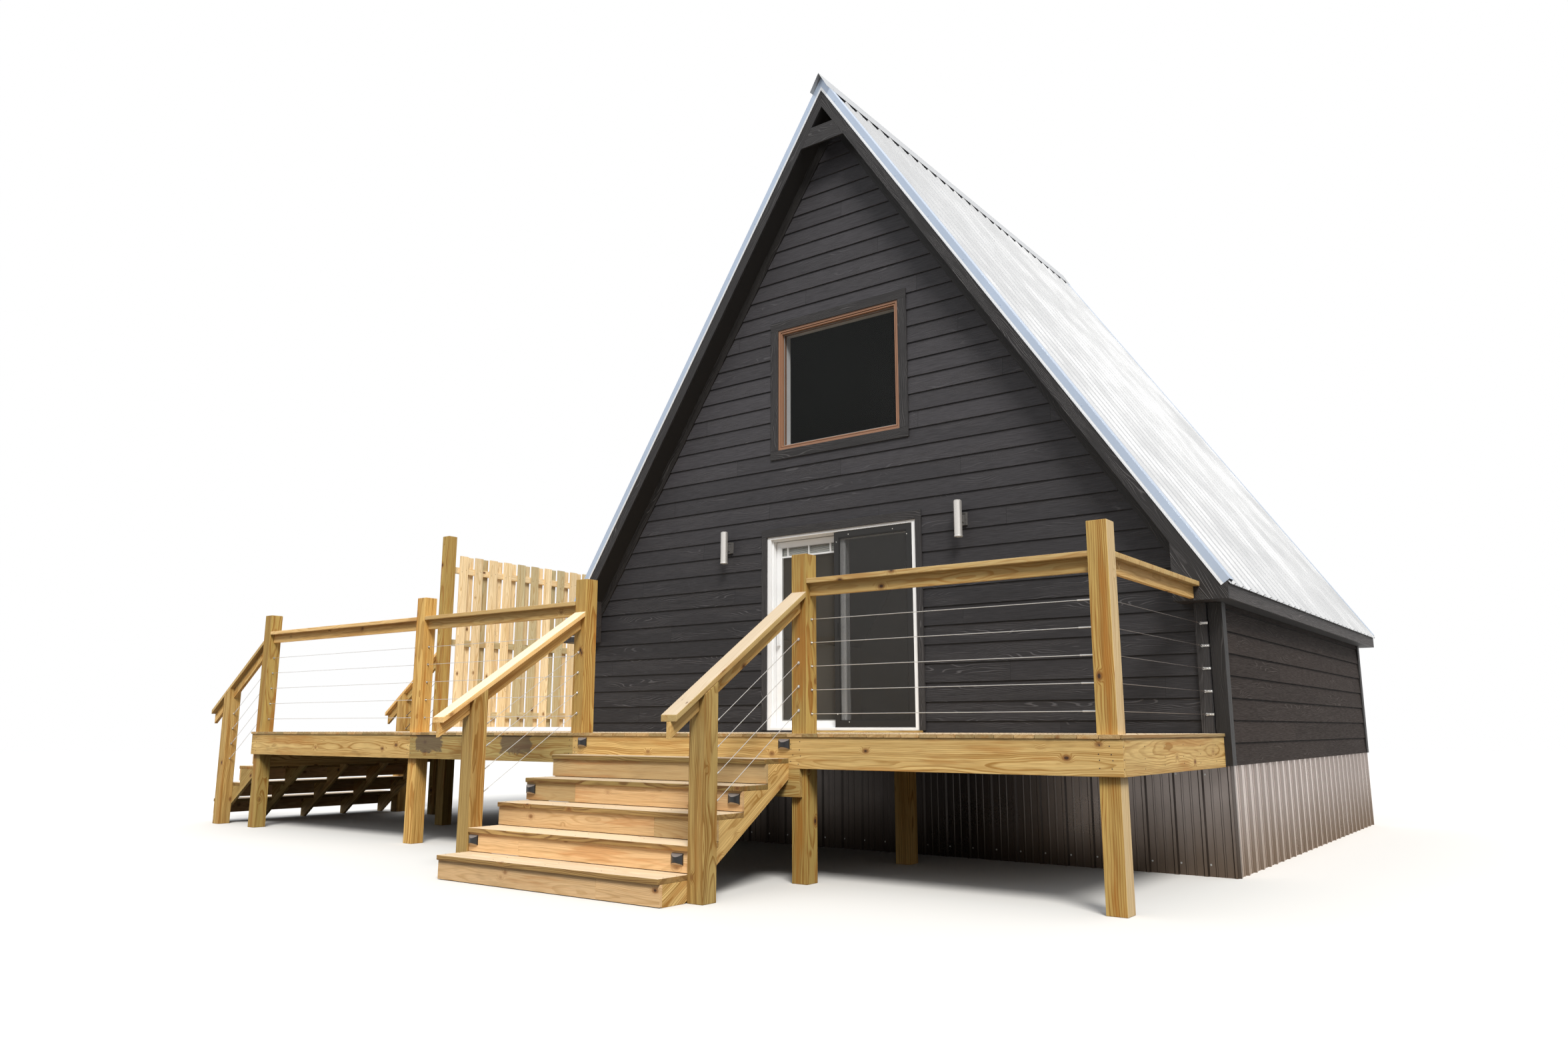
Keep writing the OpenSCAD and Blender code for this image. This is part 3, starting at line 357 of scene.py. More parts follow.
# %% Charcoal paint on embossed grain
def cedar_lines(f, place, pitch):
    """Thin pressed lines that follow a board and close into arches: contours of a slow noise."""
    swirl = f.noise(f.scaled(place, 1.3, 7.0, 7.0), 1.0, 1.5)
    length, across, third = f.split(place)
    level = f.math("ADD", f.math("ADD", across, third), f.math("MULTIPLY", swirl, 0.2))
    turn = f.math("FRACT", f.math("DIVIDE", level, pitch))
    ridge = f.math("MULTIPLY", f.band(turn, 0.36, 0.5), f.band(turn, 0.56, 0.7, 1.0, 0.0))
    broken = f.noise(f.scaled(place, 3.0, 34.0, 34.0), 1.0, 2.0)
    return f.math("MULTIPLY", ridge, f.band(broken, 0.34, 0.5, 0.1, 1.0))


def painted_emboss(f, place, tone, colour, sheen, joints_and_lap_shade=None, lines=(0.3, 0.5), gain=2.3, pitch=0.015):
    """Paint over the pressed grain, fine all over, with pale lines in patches: worn paint and painted highlight."""
    ridge = cedar_lines(f, place, pitch)
    fine = f.noise(f.scaled(place, 7.0, 170.0, 170.0), 1.0, 3.0, 0.6)
    patch = f.band(f.noise(f.scaled(place, 0.9, 5.0, 5.0), 1.0, 2.0), *lines, 0.1, 1.0)
    shaded = f.shade(f.shade(colour, tone), f.band(fine, 0.3, 0.7, 0.72, 1.28))
    # Pale ridges in patches: worn paint with a painted highlight.
    shaded = f.mix(f.math("MULTIPLY", ridge, patch), shaded, tuple(c * gain + 0.022 for c in colour))
    # Dark hairline joints, and on the siding also the painted shade under each lap.
    if joints_and_lap_shade is not None:
        shaded = f.mix(joints_and_lap_shade, shaded, (0.004, 0.004, 0.004))
    height = f.math("ADD", f.math("MULTIPLY", f.math("MULTIPLY", ridge, patch), 0.8),
                    f.math("MULTIPLY", fine, 0.5))
    return f.use(shaded, f.band(fine, 0.2, 0.8, sheen + 0.1, sheen - 0.08), height, 0.0018, 1.0)


# %% [markdown]
# Each wall is one solid with all its courses, so the finish has to tell the boards apart. A course takes its own
# stretch of the pattern from its height, and every twelve feet a new board starts, with a hairline of a joint. The
# shade that gathers under each lap is painted as a dark line. Courses high in the gable are painted paler, as
# painted sky light.

# %% Siding in courses
LAP, LAP_BASE = 0.178, 0.85
BOARD_LENGTH = 3.66
GABLE_PAINTED_SKY_LIGHT = 2.2
CHARCOAL = (0.0195, 0.0185, 0.0205)


def embossed(name, colour, along="X", sheen=0.55, shine=0.3, high=1.0, gain=2.4):
    """Siding: every course, and every board in it, takes its own stretch of the pattern."""
    f = Finish(name, colour, sheen, Specular_IOR_Level=shine)
    x, y, z = f.split(f.place)
    length = x if along == "X" else y
    rise = f.math("DIVIDE", f.math("SUBTRACT", z, LAP_BASE), LAP)
    course = f.math("FLOOR", rise)
    under_lap = f.band(f.math("FRACT", rise), 0.935, 0.975)
    shifted = f.math("ADD", length, f.math("MULTIPLY", course, 1.37))
    start = f.math("FRACT", f.math("DIVIDE", shifted, BOARD_LENGTH))
    number = f.math("ADD", f.math("FLOOR", f.math("DIVIDE", shifted, BOARD_LENGTH)),
                    f.math("MULTIPLY", course, 17.0))
    own = f("ShaderNodeTexWhiteNoise", {"W": number}, noise_dimensions="1D").outputs["Value"]
    place = f.xyz(f.math("ADD", shifted, f.math("MULTIPLY", own, 31.0)), z, f.math("MULTIPLY", number, 0.41))
    edge = f.math("MULTIPLY", f.math("MINIMUM", start, f.math("SUBTRACT", 1.0, start)), BOARD_LENGTH)
    # Painted sky light: the tone rises with height, so courses high in the gable are paler.
    tone = f.math("MULTIPLY", f.band(own, 0.0, 1.0, 0.88, 1.12), f.band(z, 2.2, 4.6, 1.0, high))
    # Painted shade: a dark line under each lap, taken together with the board joints.
    dark = f.math("MAXIMUM", f.band(edge, 0.0006, 0.0022, 1.0, 0.0), f.math("MULTIPLY", under_lap, 0.8))
    return painted_emboss(f, place, tone, colour, sheen, dark, (0.46, 0.58), gain, 0.013)


SIDING_FRONT = embossed("Charcoal siding, front", CHARCOAL, "X", high=GABLE_PAINTED_SKY_LIGHT)
SIDING_SIDE = embossed("Charcoal siding, side", (0.032, 0.0245, 0.0215), "Y", sheen=0.75, shine=0.1, gain=1.6)
SIDING_REAR = embossed("Charcoal siding, rear", CHARCOAL, "X", high=GABLE_PAINTED_SKY_LIGHT)
print("a new board every", BOARD_LENGTH, "m, a course every", LAP, "m")

# %% [markdown]
# The trim is the same material, sawn into boards. It reads the attributes "grain" and "tone" that each board
# carries, so the lines follow a sloping rake as well as an upright corner.


# %% Painted trim
def painted_board(name, colour, sheen=0.5):
    """Painted trim: the same embossing, laid along each board."""
    f = Finish(name, colour, sheen, Specular_IOR_Level=0.32)
    place = f("ShaderNodeAttribute", attribute_name="grain").outputs["Vector"]
    tone = f("ShaderNodeAttribute", attribute_name="tone").outputs["Fac"]
    return painted_emboss(f, place, f.band(tone, 0.0, 1.0, 0.88, 1.12), colour, sheen)


TRIM = painted_board("Charcoal trim", (0.024, 0.0225, 0.023))
TRIM_EAVE = painted_board("Charcoal eave trim", (0.025, 0.02, 0.0185))
# A darker copy of the trim paint: painted shade on the corners and on the friezes under the rakes.
TRIM_IN_PAINTED_SHADE = painted_board("Charcoal trim in painted shade", (0.0135, 0.012, 0.0115))
SOFFIT = painted_board("Dark soffit boards", (0.016, 0.0145, 0.014), 0.6)
print("painted finishes:", [m.name for m in bpy.data.materials if "harcoal" in m.name])

# %% [markdown]
# ## Sheet steel
# The roof is bare steel with a zinc and aluminium coat: pale and satin. The flanks of its ribs are painted darker,
# as painted shade. The skirt is the same sheet, dulled by splashed soil near the ground, and below the deck its
# front is painted darker, as painted shade of the deck. The rake's trim is blue-grey and ends in a bright lip. One
# recipe serves all of them, because the coat is the same, and only its tone and its surroundings differ. The place
# of the lip is measured from the solids.

# %% Coated steel
PITCH = math.radians(56.5)
LIP = 0.024
BRIGHT = (0.82, 0.84, 0.86)
SOIL, SOIL_TOP = (0.3, 0.2, 0.12), 0.5


def roof_level(x, z):
    """How far out from the ridge's line a point lies, square to the slope: the same all along the slope."""
    return abs(x) * math.sin(PITCH) + z * math.cos(PITCH)


def coated_steel(name, colour, roughness, metallic, cloud, soil=None, spangle=0.3, painted_flank_shade=1.0, front=None,
                 lip=None):
    """Sheet steel. Painted shade can darken its rib flanks and its front below the deck; its lower lip can be bright.
    """
    f = Finish(name, colour, roughness, Metallic=metallic)
    large = f.noise(f.place, 1.3, 3.0)
    level = f.math("MULTIPLY", large, 1.0 - spangle)
    if spangle:
        flake = f("ShaderNodeTexVoronoi", {"Vector": f.place, "Scale": 160.0}).outputs["Color"]
        level = f.math("ADD", level, f.math("MULTIPLY", f.channel(flake), spangle))
    shaded = f.shade(colour, f.band(level, 0.2, 0.8, 1.0 - cloud, 1.0 + cloud * 0.5))
    x, y, z = f.split(f.place)
    if soil:
        streak = f.noise(f.scaled(f.place, 9.0, 9.0, 0.8), 1.0, 4.0, 0.6)
        low = f.band(f.math("ADD", z, f.math("MULTIPLY", streak, -0.35)), -0.2, SOIL_TOP, 0.8, 0.0)
        shaded = f.mix(low, shaded, soil)
    # Painted shade: the flanks of the ribs, where the normal slants, are made darker.
    if painted_flank_shade < 1.0:
        across, along, up = f.split(f("ShaderNodeTexCoord").outputs["Normal"])
        slanted = f.math("MINIMUM", f.math("ABSOLUTE", across), f.math("ABSOLUTE", along))
        shaded = f.shade(shaded, f.band(slanted, 0.08, 0.3, 1.0, painted_flank_shade))
    # Painted shade: the front below the deck is made darker, most towards the left.
    if front:
        shaded = f.shade(shaded, f.band(y, 0.05, 0.12, f.band(x, 0.8, 3.8, *front), 1.0))
    if lip:
        level_here = f.math("ADD", f.math("MULTIPLY", f.math("ABSOLUTE", x), math.sin(PITCH)),
                            f.math("MULTIPLY", z, math.cos(PITCH)))
        shaded = f.mix(f.band(level_here, lip, lip + 0.001, 1.0, 0.0), shaded, BRIGHT)
    satin = f.band(level, 0.2, 0.8, roughness + 0.08, roughness - 0.05)
    return f.use(shaded, satin, f.noise(f.place, 55.0, 2.0), 0.0003, 0.25)


lip_z = min(roof_level(v.co.x, v.co.z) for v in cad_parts["rake_trims"].data.vertices)
ROOF_METAL = coated_steel("Coated roof steel", (0.475, 0.485, 0.5), 0.5, 0.25, 0.04, spangle=0.0, painted_flank_shade=0.68)
# The skirt's front below the deck gets painted shade.
SKIRT_METAL = coated_steel("Coated skirt steel", (0.71, 0.615, 0.57), 0.3, 0.85, 0.12, SOIL, spangle=0.1,
                           painted_flank_shade=0.5, front=(0.12, 0.4))
RAKE_METAL = coated_steel("Blue-grey rake steel", (0.52, 0.61, 0.75), 0.3, 0.5, 0.1, spangle=0.0,
                          lip=lip_z + LIP)
WHITE_EDGE = coated_steel("Bright hem of the rake", (0.8, 0.82, 0.85), 0.3, 0.2, 0.04, spangle=0.0)
SCREW_METAL = coated_steel("Zinc screws", (0.58, 0.58, 0.57), 0.4, 0.9, 0.1)
print("steel finishes:", [m.name for m in (ROOF_METAL, SKIRT_METAL, RAKE_METAL, WHITE_EDGE, SCREW_METAL)])

# %% [markdown]
# ## Lamps and cables
# Brushed steel has fine scratches along one direction, so its noise is stretched along that axis. A cable is wire
# rope: a diagonal wave stands for its twisted strands. The cables of the front rail catch the sky, and those behind
# them mirror the dark wall, so they differ in tone by their place.


# %% Brushed steel and wire rope
def brushed(name, colour, metallic):
    """Steel with upright brush marks."""
    f = Finish(name, colour, 0.3, Metallic=metallic)
    lines = f.noise(f.scaled(f.place, 500.0, 500.0, 1.5), 1.0, 2.0)
    return f.use(f.shade(colour, f.band(lines, 0.3, 0.7, 0.86, 1.06)),
                 f.band(lines, 0.3, 0.7, 0.36, 0.24), lines, 0.0002, 0.2)


STEEL_LAMP = brushed("Brushed steel, lamps", (0.78, 0.755, 0.72), 0.7)
f = Finish("Stainless cable", (0.7, 0.7, 0.7), 0.3, Metallic=0.7)
twist = f("ShaderNodeTexWave", {"Vector": f.place, "Scale": 90.0}, bands_direction="DIAGONAL").outputs["Fac"]
strand = f.mix(f.band(f.split(f.place)[1], -2.05, -1.95), (0.72, 0.71, 0.69), (0.16, 0.13, 0.115))
CABLE = f.use(f.shade(strand, f.band(twist, 0, 1, 0.7, 1.05)), None, twist, 0.0004, 0.3)
print("lamps and cables:", STEEL_LAMP.name, "and", CABLE.name)

# %% [markdown]
# ## Vinyl and small parts
# Moulded and painted parts are smooth, but never quite even: a faint cloud shifts their tone and their sheen, and a
# very fine bump keeps the highlights soft. White vinyl also takes a little dirt.


# %% Moulded parts
def moulded(name, colour, roughness=0.35, fine=420.0, stain=None):
    f = Finish(name, colour, roughness)
    cloud = f.noise(f.place, 3.0, 4.0)
    shaded = f.shade(colour, f.band(cloud, 0.25, 0.8, 0.95, 1.03))
    if stain:
        dirt = f.band(f.noise(f.scaled(f.place, 5.0, 5.0, 2.0), 1.0, 5.0), 0.55, 0.8, 0.0, 0.35)
        shaded = f.mix(dirt, shaded, stain)
    satin = f.band(cloud, 0.2, 0.8, roughness + 0.07, roughness - 0.05)
    return f.use(shaded, satin, f.noise(f.place, fine, 1.0), 0.0002, 0.15)


VINYL = moulded("White vinyl", (0.8, 0.815, 0.83), 0.32, stain=(0.62, 0.56, 0.46))
TAN_VINYL = moulded("Tan window frame", (0.3, 0.155, 0.09), 0.42)
BLACK_METAL = moulded("Black screen frame", (0.0085, 0.008, 0.0075), 0.5)
BLACK_LIGHT = moulded("Black step light", (0.012, 0.012, 0.013), 0.34)
LINING = moulded("Painted lining", (0.74, 0.73, 0.69), 0.7, 260.0)
# The solar panel on top is made grey, as painted sky light on it.
SOLAR_PANEL_WITH_SKY_LIGHT = moulded("Solar panel of a step light, painted sky light", (0.19, 0.165, 0.15), 0.3)
# The lens is tinted as a painted reflection of the pale wood below.
LENS_WITH_WOOD_REFLECTION = moulded("Frosted lens with painted wood reflection", (0.5, 0.4, 0.29), 0.35)
NAIL = moulded("Dark nail heads", (0.035, 0.022, 0.014), 0.6)
BRACKET = moulded("Dark back plate", (0.1, 0.097, 0.094), 0.35)
DECK_SCREW = moulded("Brown deck screws", (0.16, 0.1, 0.05), 0.5)
SCREW_PALE = moulded("Pale screw heads", (0.7, 0.69, 0.66), 0.4)
SPACER = moulded("Pane spacer", (0.33, 0.34, 0.33), 0.4)
SLAT = moulded("Blind slats", (0.86, 0.9, 0.86), 0.5)
FITTING = coated_steel("Stainless fittings", (0.66, 0.655, 0.64), 0.25, 1.0, 0.08)
print("moulded parts:", [m.name for m in (VINYL, TAN_VINYL, BLACK_METAL, BLACK_LIGHT, LINING, LENS_WITH_WOOD_REFLECTION)])

# %% [markdown]
# ## Glass, insect mesh and planks
# A pane in front of a dark room shows mostly what it mirrors. Refraction would cost many bounces and show no more, so
# the pane is a thin veil: nearly clear, with a smooth coat that mirrors, and a slow ripple in it. The insect mesh is
# woven in the material: two rows of stripes set the alpha, and between them the sheet is open. The floor inside is
# laid with planks, each of its own tone.

# %% Panes and insect mesh
WEAVE, THREAD = 0.0018, 0.2


def pane(name, veil):
    """Glass as a thin veil over what lies behind it. The veil's colour stands for the light of the room."""
    f = Finish(name, veil, 0.03, IOR=1.5, Alpha=0.16)
    ripple = f.noise(f.place, 1.4, 1.0)
    return f.use(f.shade(veil, f.band(ripple, 0, 1, 0.8, 1.2)), None, ripple, 0.002, 0.3)


GLASS = pane("Window glass", (0.014, 0.016, 0.015))
# The door glass has a paler veil: painted light of the room behind it.
GLASS_DOOR = pane("Door glass", (0.19, 0.175, 0.15))

f = Finish("Insect mesh", (0.03, 0.029, 0.028), 0.55)
x, y, z = f.split(f.place)
weave = f.math("MAXIMUM", *[f.math("LESS_THAN", f.math("FRACT", f.math("DIVIDE", axis, WEAVE)), THREAD)
                            for axis in (x, z)])
f.tree.links.new(weave, f.shader.inputs["Alpha"])
MESH = f.use(None, None, weave, 0.0004, 0.5)
print("threads cover", round(1 - (1 - THREAD) ** 2, 2), "of the screen")


# %% Floor planks
def planks(name, colour, width=0.15, length=1.2):
    """Floor planks on Object coordinates."""
    f = Finish(name, colour, 0.38)
    x, y, z = f.split(f.place)
    row = f.math("FLOOR", f.math("DIVIDE", x, width))
    shifted = f.math("ADD", y, f.math("MULTIPLY", row, 0.43))
    number = f.math("ADD", f.math("FLOOR", f.math("DIVIDE", shifted, length)), f.math("MULTIPLY", row, 13.0))
    own = f("ShaderNodeTexWhiteNoise", {"W": number}, noise_dimensions="1D").outputs["Value"]
    stretched = f.xyz(f.math("MULTIPLY", x, 60.0), f.math("MULTIPLY", y, 3.0),
                      f.math("MULTIPLY", number, 7.0))
    grain = f.noise(stretched, 1.0, 4.0, 0.6)
    shaded = f.shade(f.mix(f.band(grain, 0.35, 0.7), colour, times(colour, 0.6)),
                     f.band(own, 0.0, 1.0, 0.8, 1.15))
    gap = f.math("LESS_THAN", f.math("MULTIPLY", f.math("FRACT", f.math("DIVIDE", x, width)), width), 0.002)
    return f.use(f.mix(gap, shaded, (0.03, 0.02, 0.012)), None, grain, 0.0005, 0.4)


FLOOR_PLANKS = planks("Sealed floor planks", (0.42, 0.29, 0.17))
print("materials:", len(bpy.data.materials))

# %% [markdown]
# ## Boards that know their grain
# A CAD solid is made of loose triangles with knife edges. For lumber that is wrong twice: real edges are eased, and
# grain runs along each board. So every wooden solid is copied, welded, and its edges are rounded by a few
# millimetres. Then each board is found as an island of the mesh, its longest edge gives the direction of its grain,
# and a seeded random number gives its place in the log and its tone.

# %% Find the boards in a mesh
WELD = 2e-5


def islands(mesh):
    """A label for each vertex: vertices that edges join have the same one."""
    ends = np.zeros(len(mesh.edges) * 2, int)
    mesh.edges.foreach_get("vertices", ends)
    ends = ends.reshape(-1, 2)
    label = np.arange(len(mesh.vertices))
    while True:
        low = np.minimum(label[ends[:, 0]], label[ends[:, 1]])
        new = label.copy()
        np.minimum.at(new, ends[:, 0], low)
        np.minimum.at(new, ends[:, 1], low)
        new = new[new]
        if (new == label).all():
            return label, ends
        label = new


# %% Lay the grain
LOG_LENGTH = 60
LOG_SIDE = 0.07
LOG_RADIUS = (0.035, 0.16)


def lay_grain(mesh, seed):
    """Gives every board its place in a log and its tone, and returns the number of boards."""
    points = np.zeros(len(mesh.vertices) * 3)
    mesh.vertices.foreach_get("co", points)
    points = points.reshape(-1, 3)
    label, ends = islands(mesh)
    spans = points[ends[:, 1]] - points[ends[:, 0]]
    lengths = np.linalg.norm(spans, axis=1)
    grain, tone = np.zeros_like(points), np.zeros(len(points))
    random = np.random.default_rng(seed)
    edge_label = label[ends[:, 0]]
    found = np.unique(label)
    for board in found:
        own, mine = label == board, edge_label == board
        if not mine.any():
            continue
        spans_here, lengths_here = spans[mine], lengths[mine]
        along = spans_here[lengths_here.argmax()] / lengths_here.max()
        along *= np.sign(along[np.abs(along).argmax()])
        cross = np.linalg.norm(np.cross(spans_here, along), axis=1)
        side = spans_here[cross.argmax()]
        side = side - along * (side @ along)
        side /= np.linalg.norm(side)
        local = (points[own] - points[own].mean(0)) @ np.array([along, side, np.cross(along, side)]).T
        log = (random.uniform(0, LOG_LENGTH), random.uniform(-LOG_SIDE, LOG_SIDE),
               random.uniform(*LOG_RADIUS))
        grain[own] = local + log
        tone[own] = random.uniform(0, 1)
    mesh.attributes.new("grain", "FLOAT_VECTOR", "POINT").data.foreach_set("vector", grain.ravel())
    mesh.attributes.new("tone", "FLOAT", "POINT").data.foreach_set("value", tone)
    return len(found)


# %% [markdown]
# Some pieces are built anew at the places of their solids. A node may hold many solids, so its mesh is welded and
# the box of each island is measured. Everything that is built later reads its sizes from these boxes.


# %% Measure the solids of a node
def parts_of(node):
    """The boxes of a CAD node's separate solids: (lowest corner, highest corner) of each."""
    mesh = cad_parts[node].data
    work = bmesh.new()
    work.from_mesh(mesh)
    bmesh.ops.remove_doubles(work, verts=work.verts, dist=WELD)
    clean = bpy.data.meshes.new("parts")
    work.to_mesh(clean)
    work.free()
    points = np.array([v.co for v in clean.vertices])
    label = islands(clean)[0]
    bpy.data.meshes.remove(clean)
    return [(points[label == k].min(0), points[label == k].max(0)) for k in np.unique(label)]


print("deck posts:", len(parts_of("deck_posts")), "pickets:", len(parts_of("fence_pickets")))

# %% [markdown]
# A piece is an object in the scene that rides on one of the frame's bodies and may take the place of CAD nodes. All
# pieces are made by the same short function, so neither is forgotten.


# %% Make a piece, and weld and round solids
def piece(name, mesh, body="cabin", replaces=()):
    """Puts a mesh in the scene, on its body, in place of the nodes that it replaces."""
    made = bpy.data.objects.new(name, mesh)
    scene.collection.objects.link(made)
    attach(made, body)
    if replaces:
        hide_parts(*replaces)
    return made


def welded(nodes):
    """A bmesh of CAD nodes with whole faces instead of loose triangles. Nodes that touch stay apart."""
    work = bmesh.new()
    for node in nodes:
        alone = bmesh.new()
        alone.from_mesh(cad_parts[node].data)
        bmesh.ops.remove_doubles(alone, verts=alone.verts, dist=WELD)
        bmesh.ops.dissolve_limit(alone, angle_limit=math.radians(0.4), verts=alone.verts, edges=alone.edges)
        mesh = bpy.data.meshes.new("alone")
        alone.to_mesh(mesh)
        alone.free()
        work.from_mesh(mesh)
        bpy.data.meshes.remove(mesh)
    return work


def rounded(work, radius, segments=2, sharper=25):
    """Rounds every edge that turns by more than some degrees."""
    edges = [e for e in work.edges if len(e.link_faces) == 2 and e.calc_face_angle(0) > math.radians(sharper)]
    bmesh.ops.bevel(work, geom=edges, offset=radius, offset_type="OFFSET", segments=segments, profile=0.6,
                    affect="EDGES", clamp_overlap=True)


# %% [markdown]
# A rounded edge is only a strip or two of faces. If all faces had an equal say, the shading of the board would bend
# far in from its edge. A Weighted Normal modifier lets the large faces decide. It is evaluated to a plain mesh, so
# that no modifier is left on a finished piece.


# %% Turn the work into a mesh
def as_mesh(work, name, materials, smooth=30):
    """A mesh with its materials, smooth but for edges that turn by more than some degrees."""
    mesh = bpy.data.meshes.new(name)
    work.to_mesh(mesh)
    work.free()
    for material in materials:
        mesh.materials.append(material)
    mesh.shade_smooth()
    mesh.set_sharp_from_angle(angle=math.radians(smooth))
    return even_normals(mesh)


def even_normals(mesh):
    """Large faces decide the normals, so a flat board looks flat right up to its rounded edge."""
    holder = bpy.data.objects.new(mesh.name, mesh)
    scene.collection.objects.link(holder)
    weighted = holder.modifiers.new("Even", "WEIGHTED_NORMAL")
    weighted.keep_sharp = True
    graph = bpy.context.evaluated_depsgraph_get()
    done = bpy.data.meshes.new_from_object(holder.evaluated_get(graph), preserve_all_data_layers=True,
                                           depsgraph=graph)
    name = mesh.name
    bpy.data.objects.remove(holder)
    bpy.data.meshes.remove(mesh)
    done.name = name
    return done


def boards(name, nodes, material, radius, seed):
    """Wooden CAD nodes as one piece, with eased edges and grain."""
    work = welded(nodes)
    rounded(work, radius)
    mesh = as_mesh(work, name, [material])
    count = lay_grain(mesh, seed)
    piece(name, mesh, "cabin", nodes)
    print(f"{name}: {count} boards, {len(mesh.polygons)} faces")


# %% [markdown]
# ## The lumber
# Posts, rails, stairs and frame are all dressed the same way, each kind with its own tone: the tops of caps and
# treads are bleached by rain and shoes and also painted paler as sky light, posts are darker, and what stands under
# the deck is rough. Each row gives the finish, the radius of the edges and the seed of the grain.

# %% Lumber of the deck
boards("deck_rim_and_joists", ["deck_frame"], PINE_DECK, 0.003, 3)
boards("posts_of_deck", ["deck_posts"], PINE_POST, 0.006, 5)
boards("posts_of_stairs", ["stair_posts"], PINE_NEWEL, 0.006, 6)
boards("handrail_caps", ["rail_caps"], PINE_CAP, 0.005, 7)
boards("handrail_boards", ["sub_rails"], PINE_RAIL, 0.004, 8)
boards("stringers", ["stair_stringers"], PINE_DECK, 0.003, 9)
boards("treads", ["stair_treads"], PINE_TREAD, 0.006, 11)
boards("risers", ["stair_risers"], PINE_STAIR, 0.002, 12)
boards("rails_of_fence", ["fence_rails"], PINE_FENCE, 0.004, 13)
boards("piers", ["floor_piers"], PINE_ROUGH, 0.006, 15)

# %% [markdown]
# ## The header under the rim
# Where the main stair meets the deck, a board under the rim carries the stringers. It reaches a little further to
# the right and lower than its solid does, and no rounding can do that. So the box of the solid is read, its reach is
# changed, and the board is made anew from the two corners of its box.


# %% Boards made from boxes
def box_boards(name, boxes, material, radius, seed, replaces=()):
    """Boards given by their lowest and highest corners."""
    work = bmesh.new()
    for low, high in boxes:
        for vert in bmesh.ops.create_cube(work, size=1)["verts"]:
            vert.co = Vector([a + (c + 0.5) * (b - a) for a, b, c in zip(low, high, vert.co)])
    rounded(work, radius)
    mesh = as_mesh(work, name, [material])
    lay_grain(mesh, seed)
    return piece(name, mesh, "cabin", replaces)


HEADER_REACH, HEADER_Z = 0.1, 0.63
headers = []
for low, high in parts_of("stair_headers"):
    if high[0] > 0:
        high[0] += HEADER_REACH
        low[2] = HEADER_Z
    headers.append((low, high))
box_boards("headers", headers, PINE_DECK, 0.003, 10, ["stair_headers"])
print("headers:", [[round(float(c), 3) for c in high - low] for low, high in headers])

# %% [markdown]
# ## Painted boards of the cabin
# Rakes, collars, eaves and corners are rounded like the lumber, with paint instead of pine. In CAD a casing is one
# solid with a hole, while a real one is made of a board for each side. So its boards are made from the box of the
# casing and the box of what it frames, and their joints show. The door's casing ends on the deck and has no board
# below.

# %% Painted boards of the cabin
boards("rakes", ["rake_boards"], TRIM, 0.003, 21)
boards("collars", ["collar_boards"], TRIM, 0.003, 22)
boards("eaves", ["eave_boards"], TRIM_EAVE, 0.003, 23)
# Corner boards take the darker trim paint, as painted shade.
boards("corners", ["corner_boards"], TRIM_IN_PAINTED_SHADE, 0.003, 24)
casing_boards = []
for low, high in parts_of("casings"):
    inner_low, inner_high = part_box("door_jambs" if low[2] < 2 else "front_window")
    foot = low[2] if low[2] < 2 else inner_low[2]
    casing_boards += [((low[0], low[1], inner_high[2]), high),
                      ((low[0], low[1], foot), (inner_low[0], high[1], inner_high[2])),
                      ((inner_high[0], low[1], foot), (high[0], high[1], inner_high[2]))]
    if foot > low[2]:
        casing_boards.append((low, (high[0], high[1], foot)))
box_boards("trim_of_openings", casing_boards, TRIM, 0.003, 25, ["casings"])
boards("boards_for_cables", ["cable_boards"], TRIM, 0.003, 26)

# %% [markdown]
# Under each rake a plain board covers the cut ends of the siding. It lies flat on the courses and follows the
# underside of the roof from the peak to the corner board. Its slope comes from the roof, and its ends from the
# siding, so it needs no measure of its own but its width.

# %% Frieze boards under the rakes
FRIEZE_W, FRIEZE_PROUD, FRIEZE_BACK = 0.1, 0.01, 0.016
FRIEZE_GAP = 0.001
fall = math.tan(PITCH)
drop = FRIEZE_W / math.cos(PITCH)
work = bmesh.new()
for node, end, out_y in (("front_siding", 0, -1), ("back_siding", 1, 1)):
    face_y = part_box(node)[end][1]
    reach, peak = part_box(node)[1][0] - FRIEZE_GAP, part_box(node)[1][2] - FRIEZE_GAP
    corners = ((FRIEZE_GAP, 0), (reach, 0), (reach, drop), (FRIEZE_GAP, drop))
    for side in (-1, 1):
        loops = []
        for y in (face_y + out_y * FRIEZE_PROUD, face_y - out_y * FRIEZE_BACK):
            loops.append([work.verts.new((side * x, y, peak - x * fall - lower)) for x, lower in corners])
        work.faces.new(loops[0])
        work.faces.new(loops[1])
        for k in range(4):
            work.faces.new((loops[0][k], loops[0][(k + 1) % 4], loops[1][(k + 1) % 4], loops[1][k]))
bmesh.ops.recalc_face_normals(work, faces=work.faces)
rounded(work, 0.003)
# The friezes take the darker trim paint, as painted shade under the rakes.
mesh = as_mesh(work, "friezes", [TRIM_IN_PAINTED_SHADE])
print("friezes:", lay_grain(mesh, 27), "boards")
piece("friezes", mesh, "cabin")

# %% [markdown]
# ## Solids that keep their shape
# Siding, sheet metal, walls and cables need no rounding: their edges are folded, thin or out of sight. Their meshes
# are loose triangles that already face outwards, so they are left as they are and only get a finish.

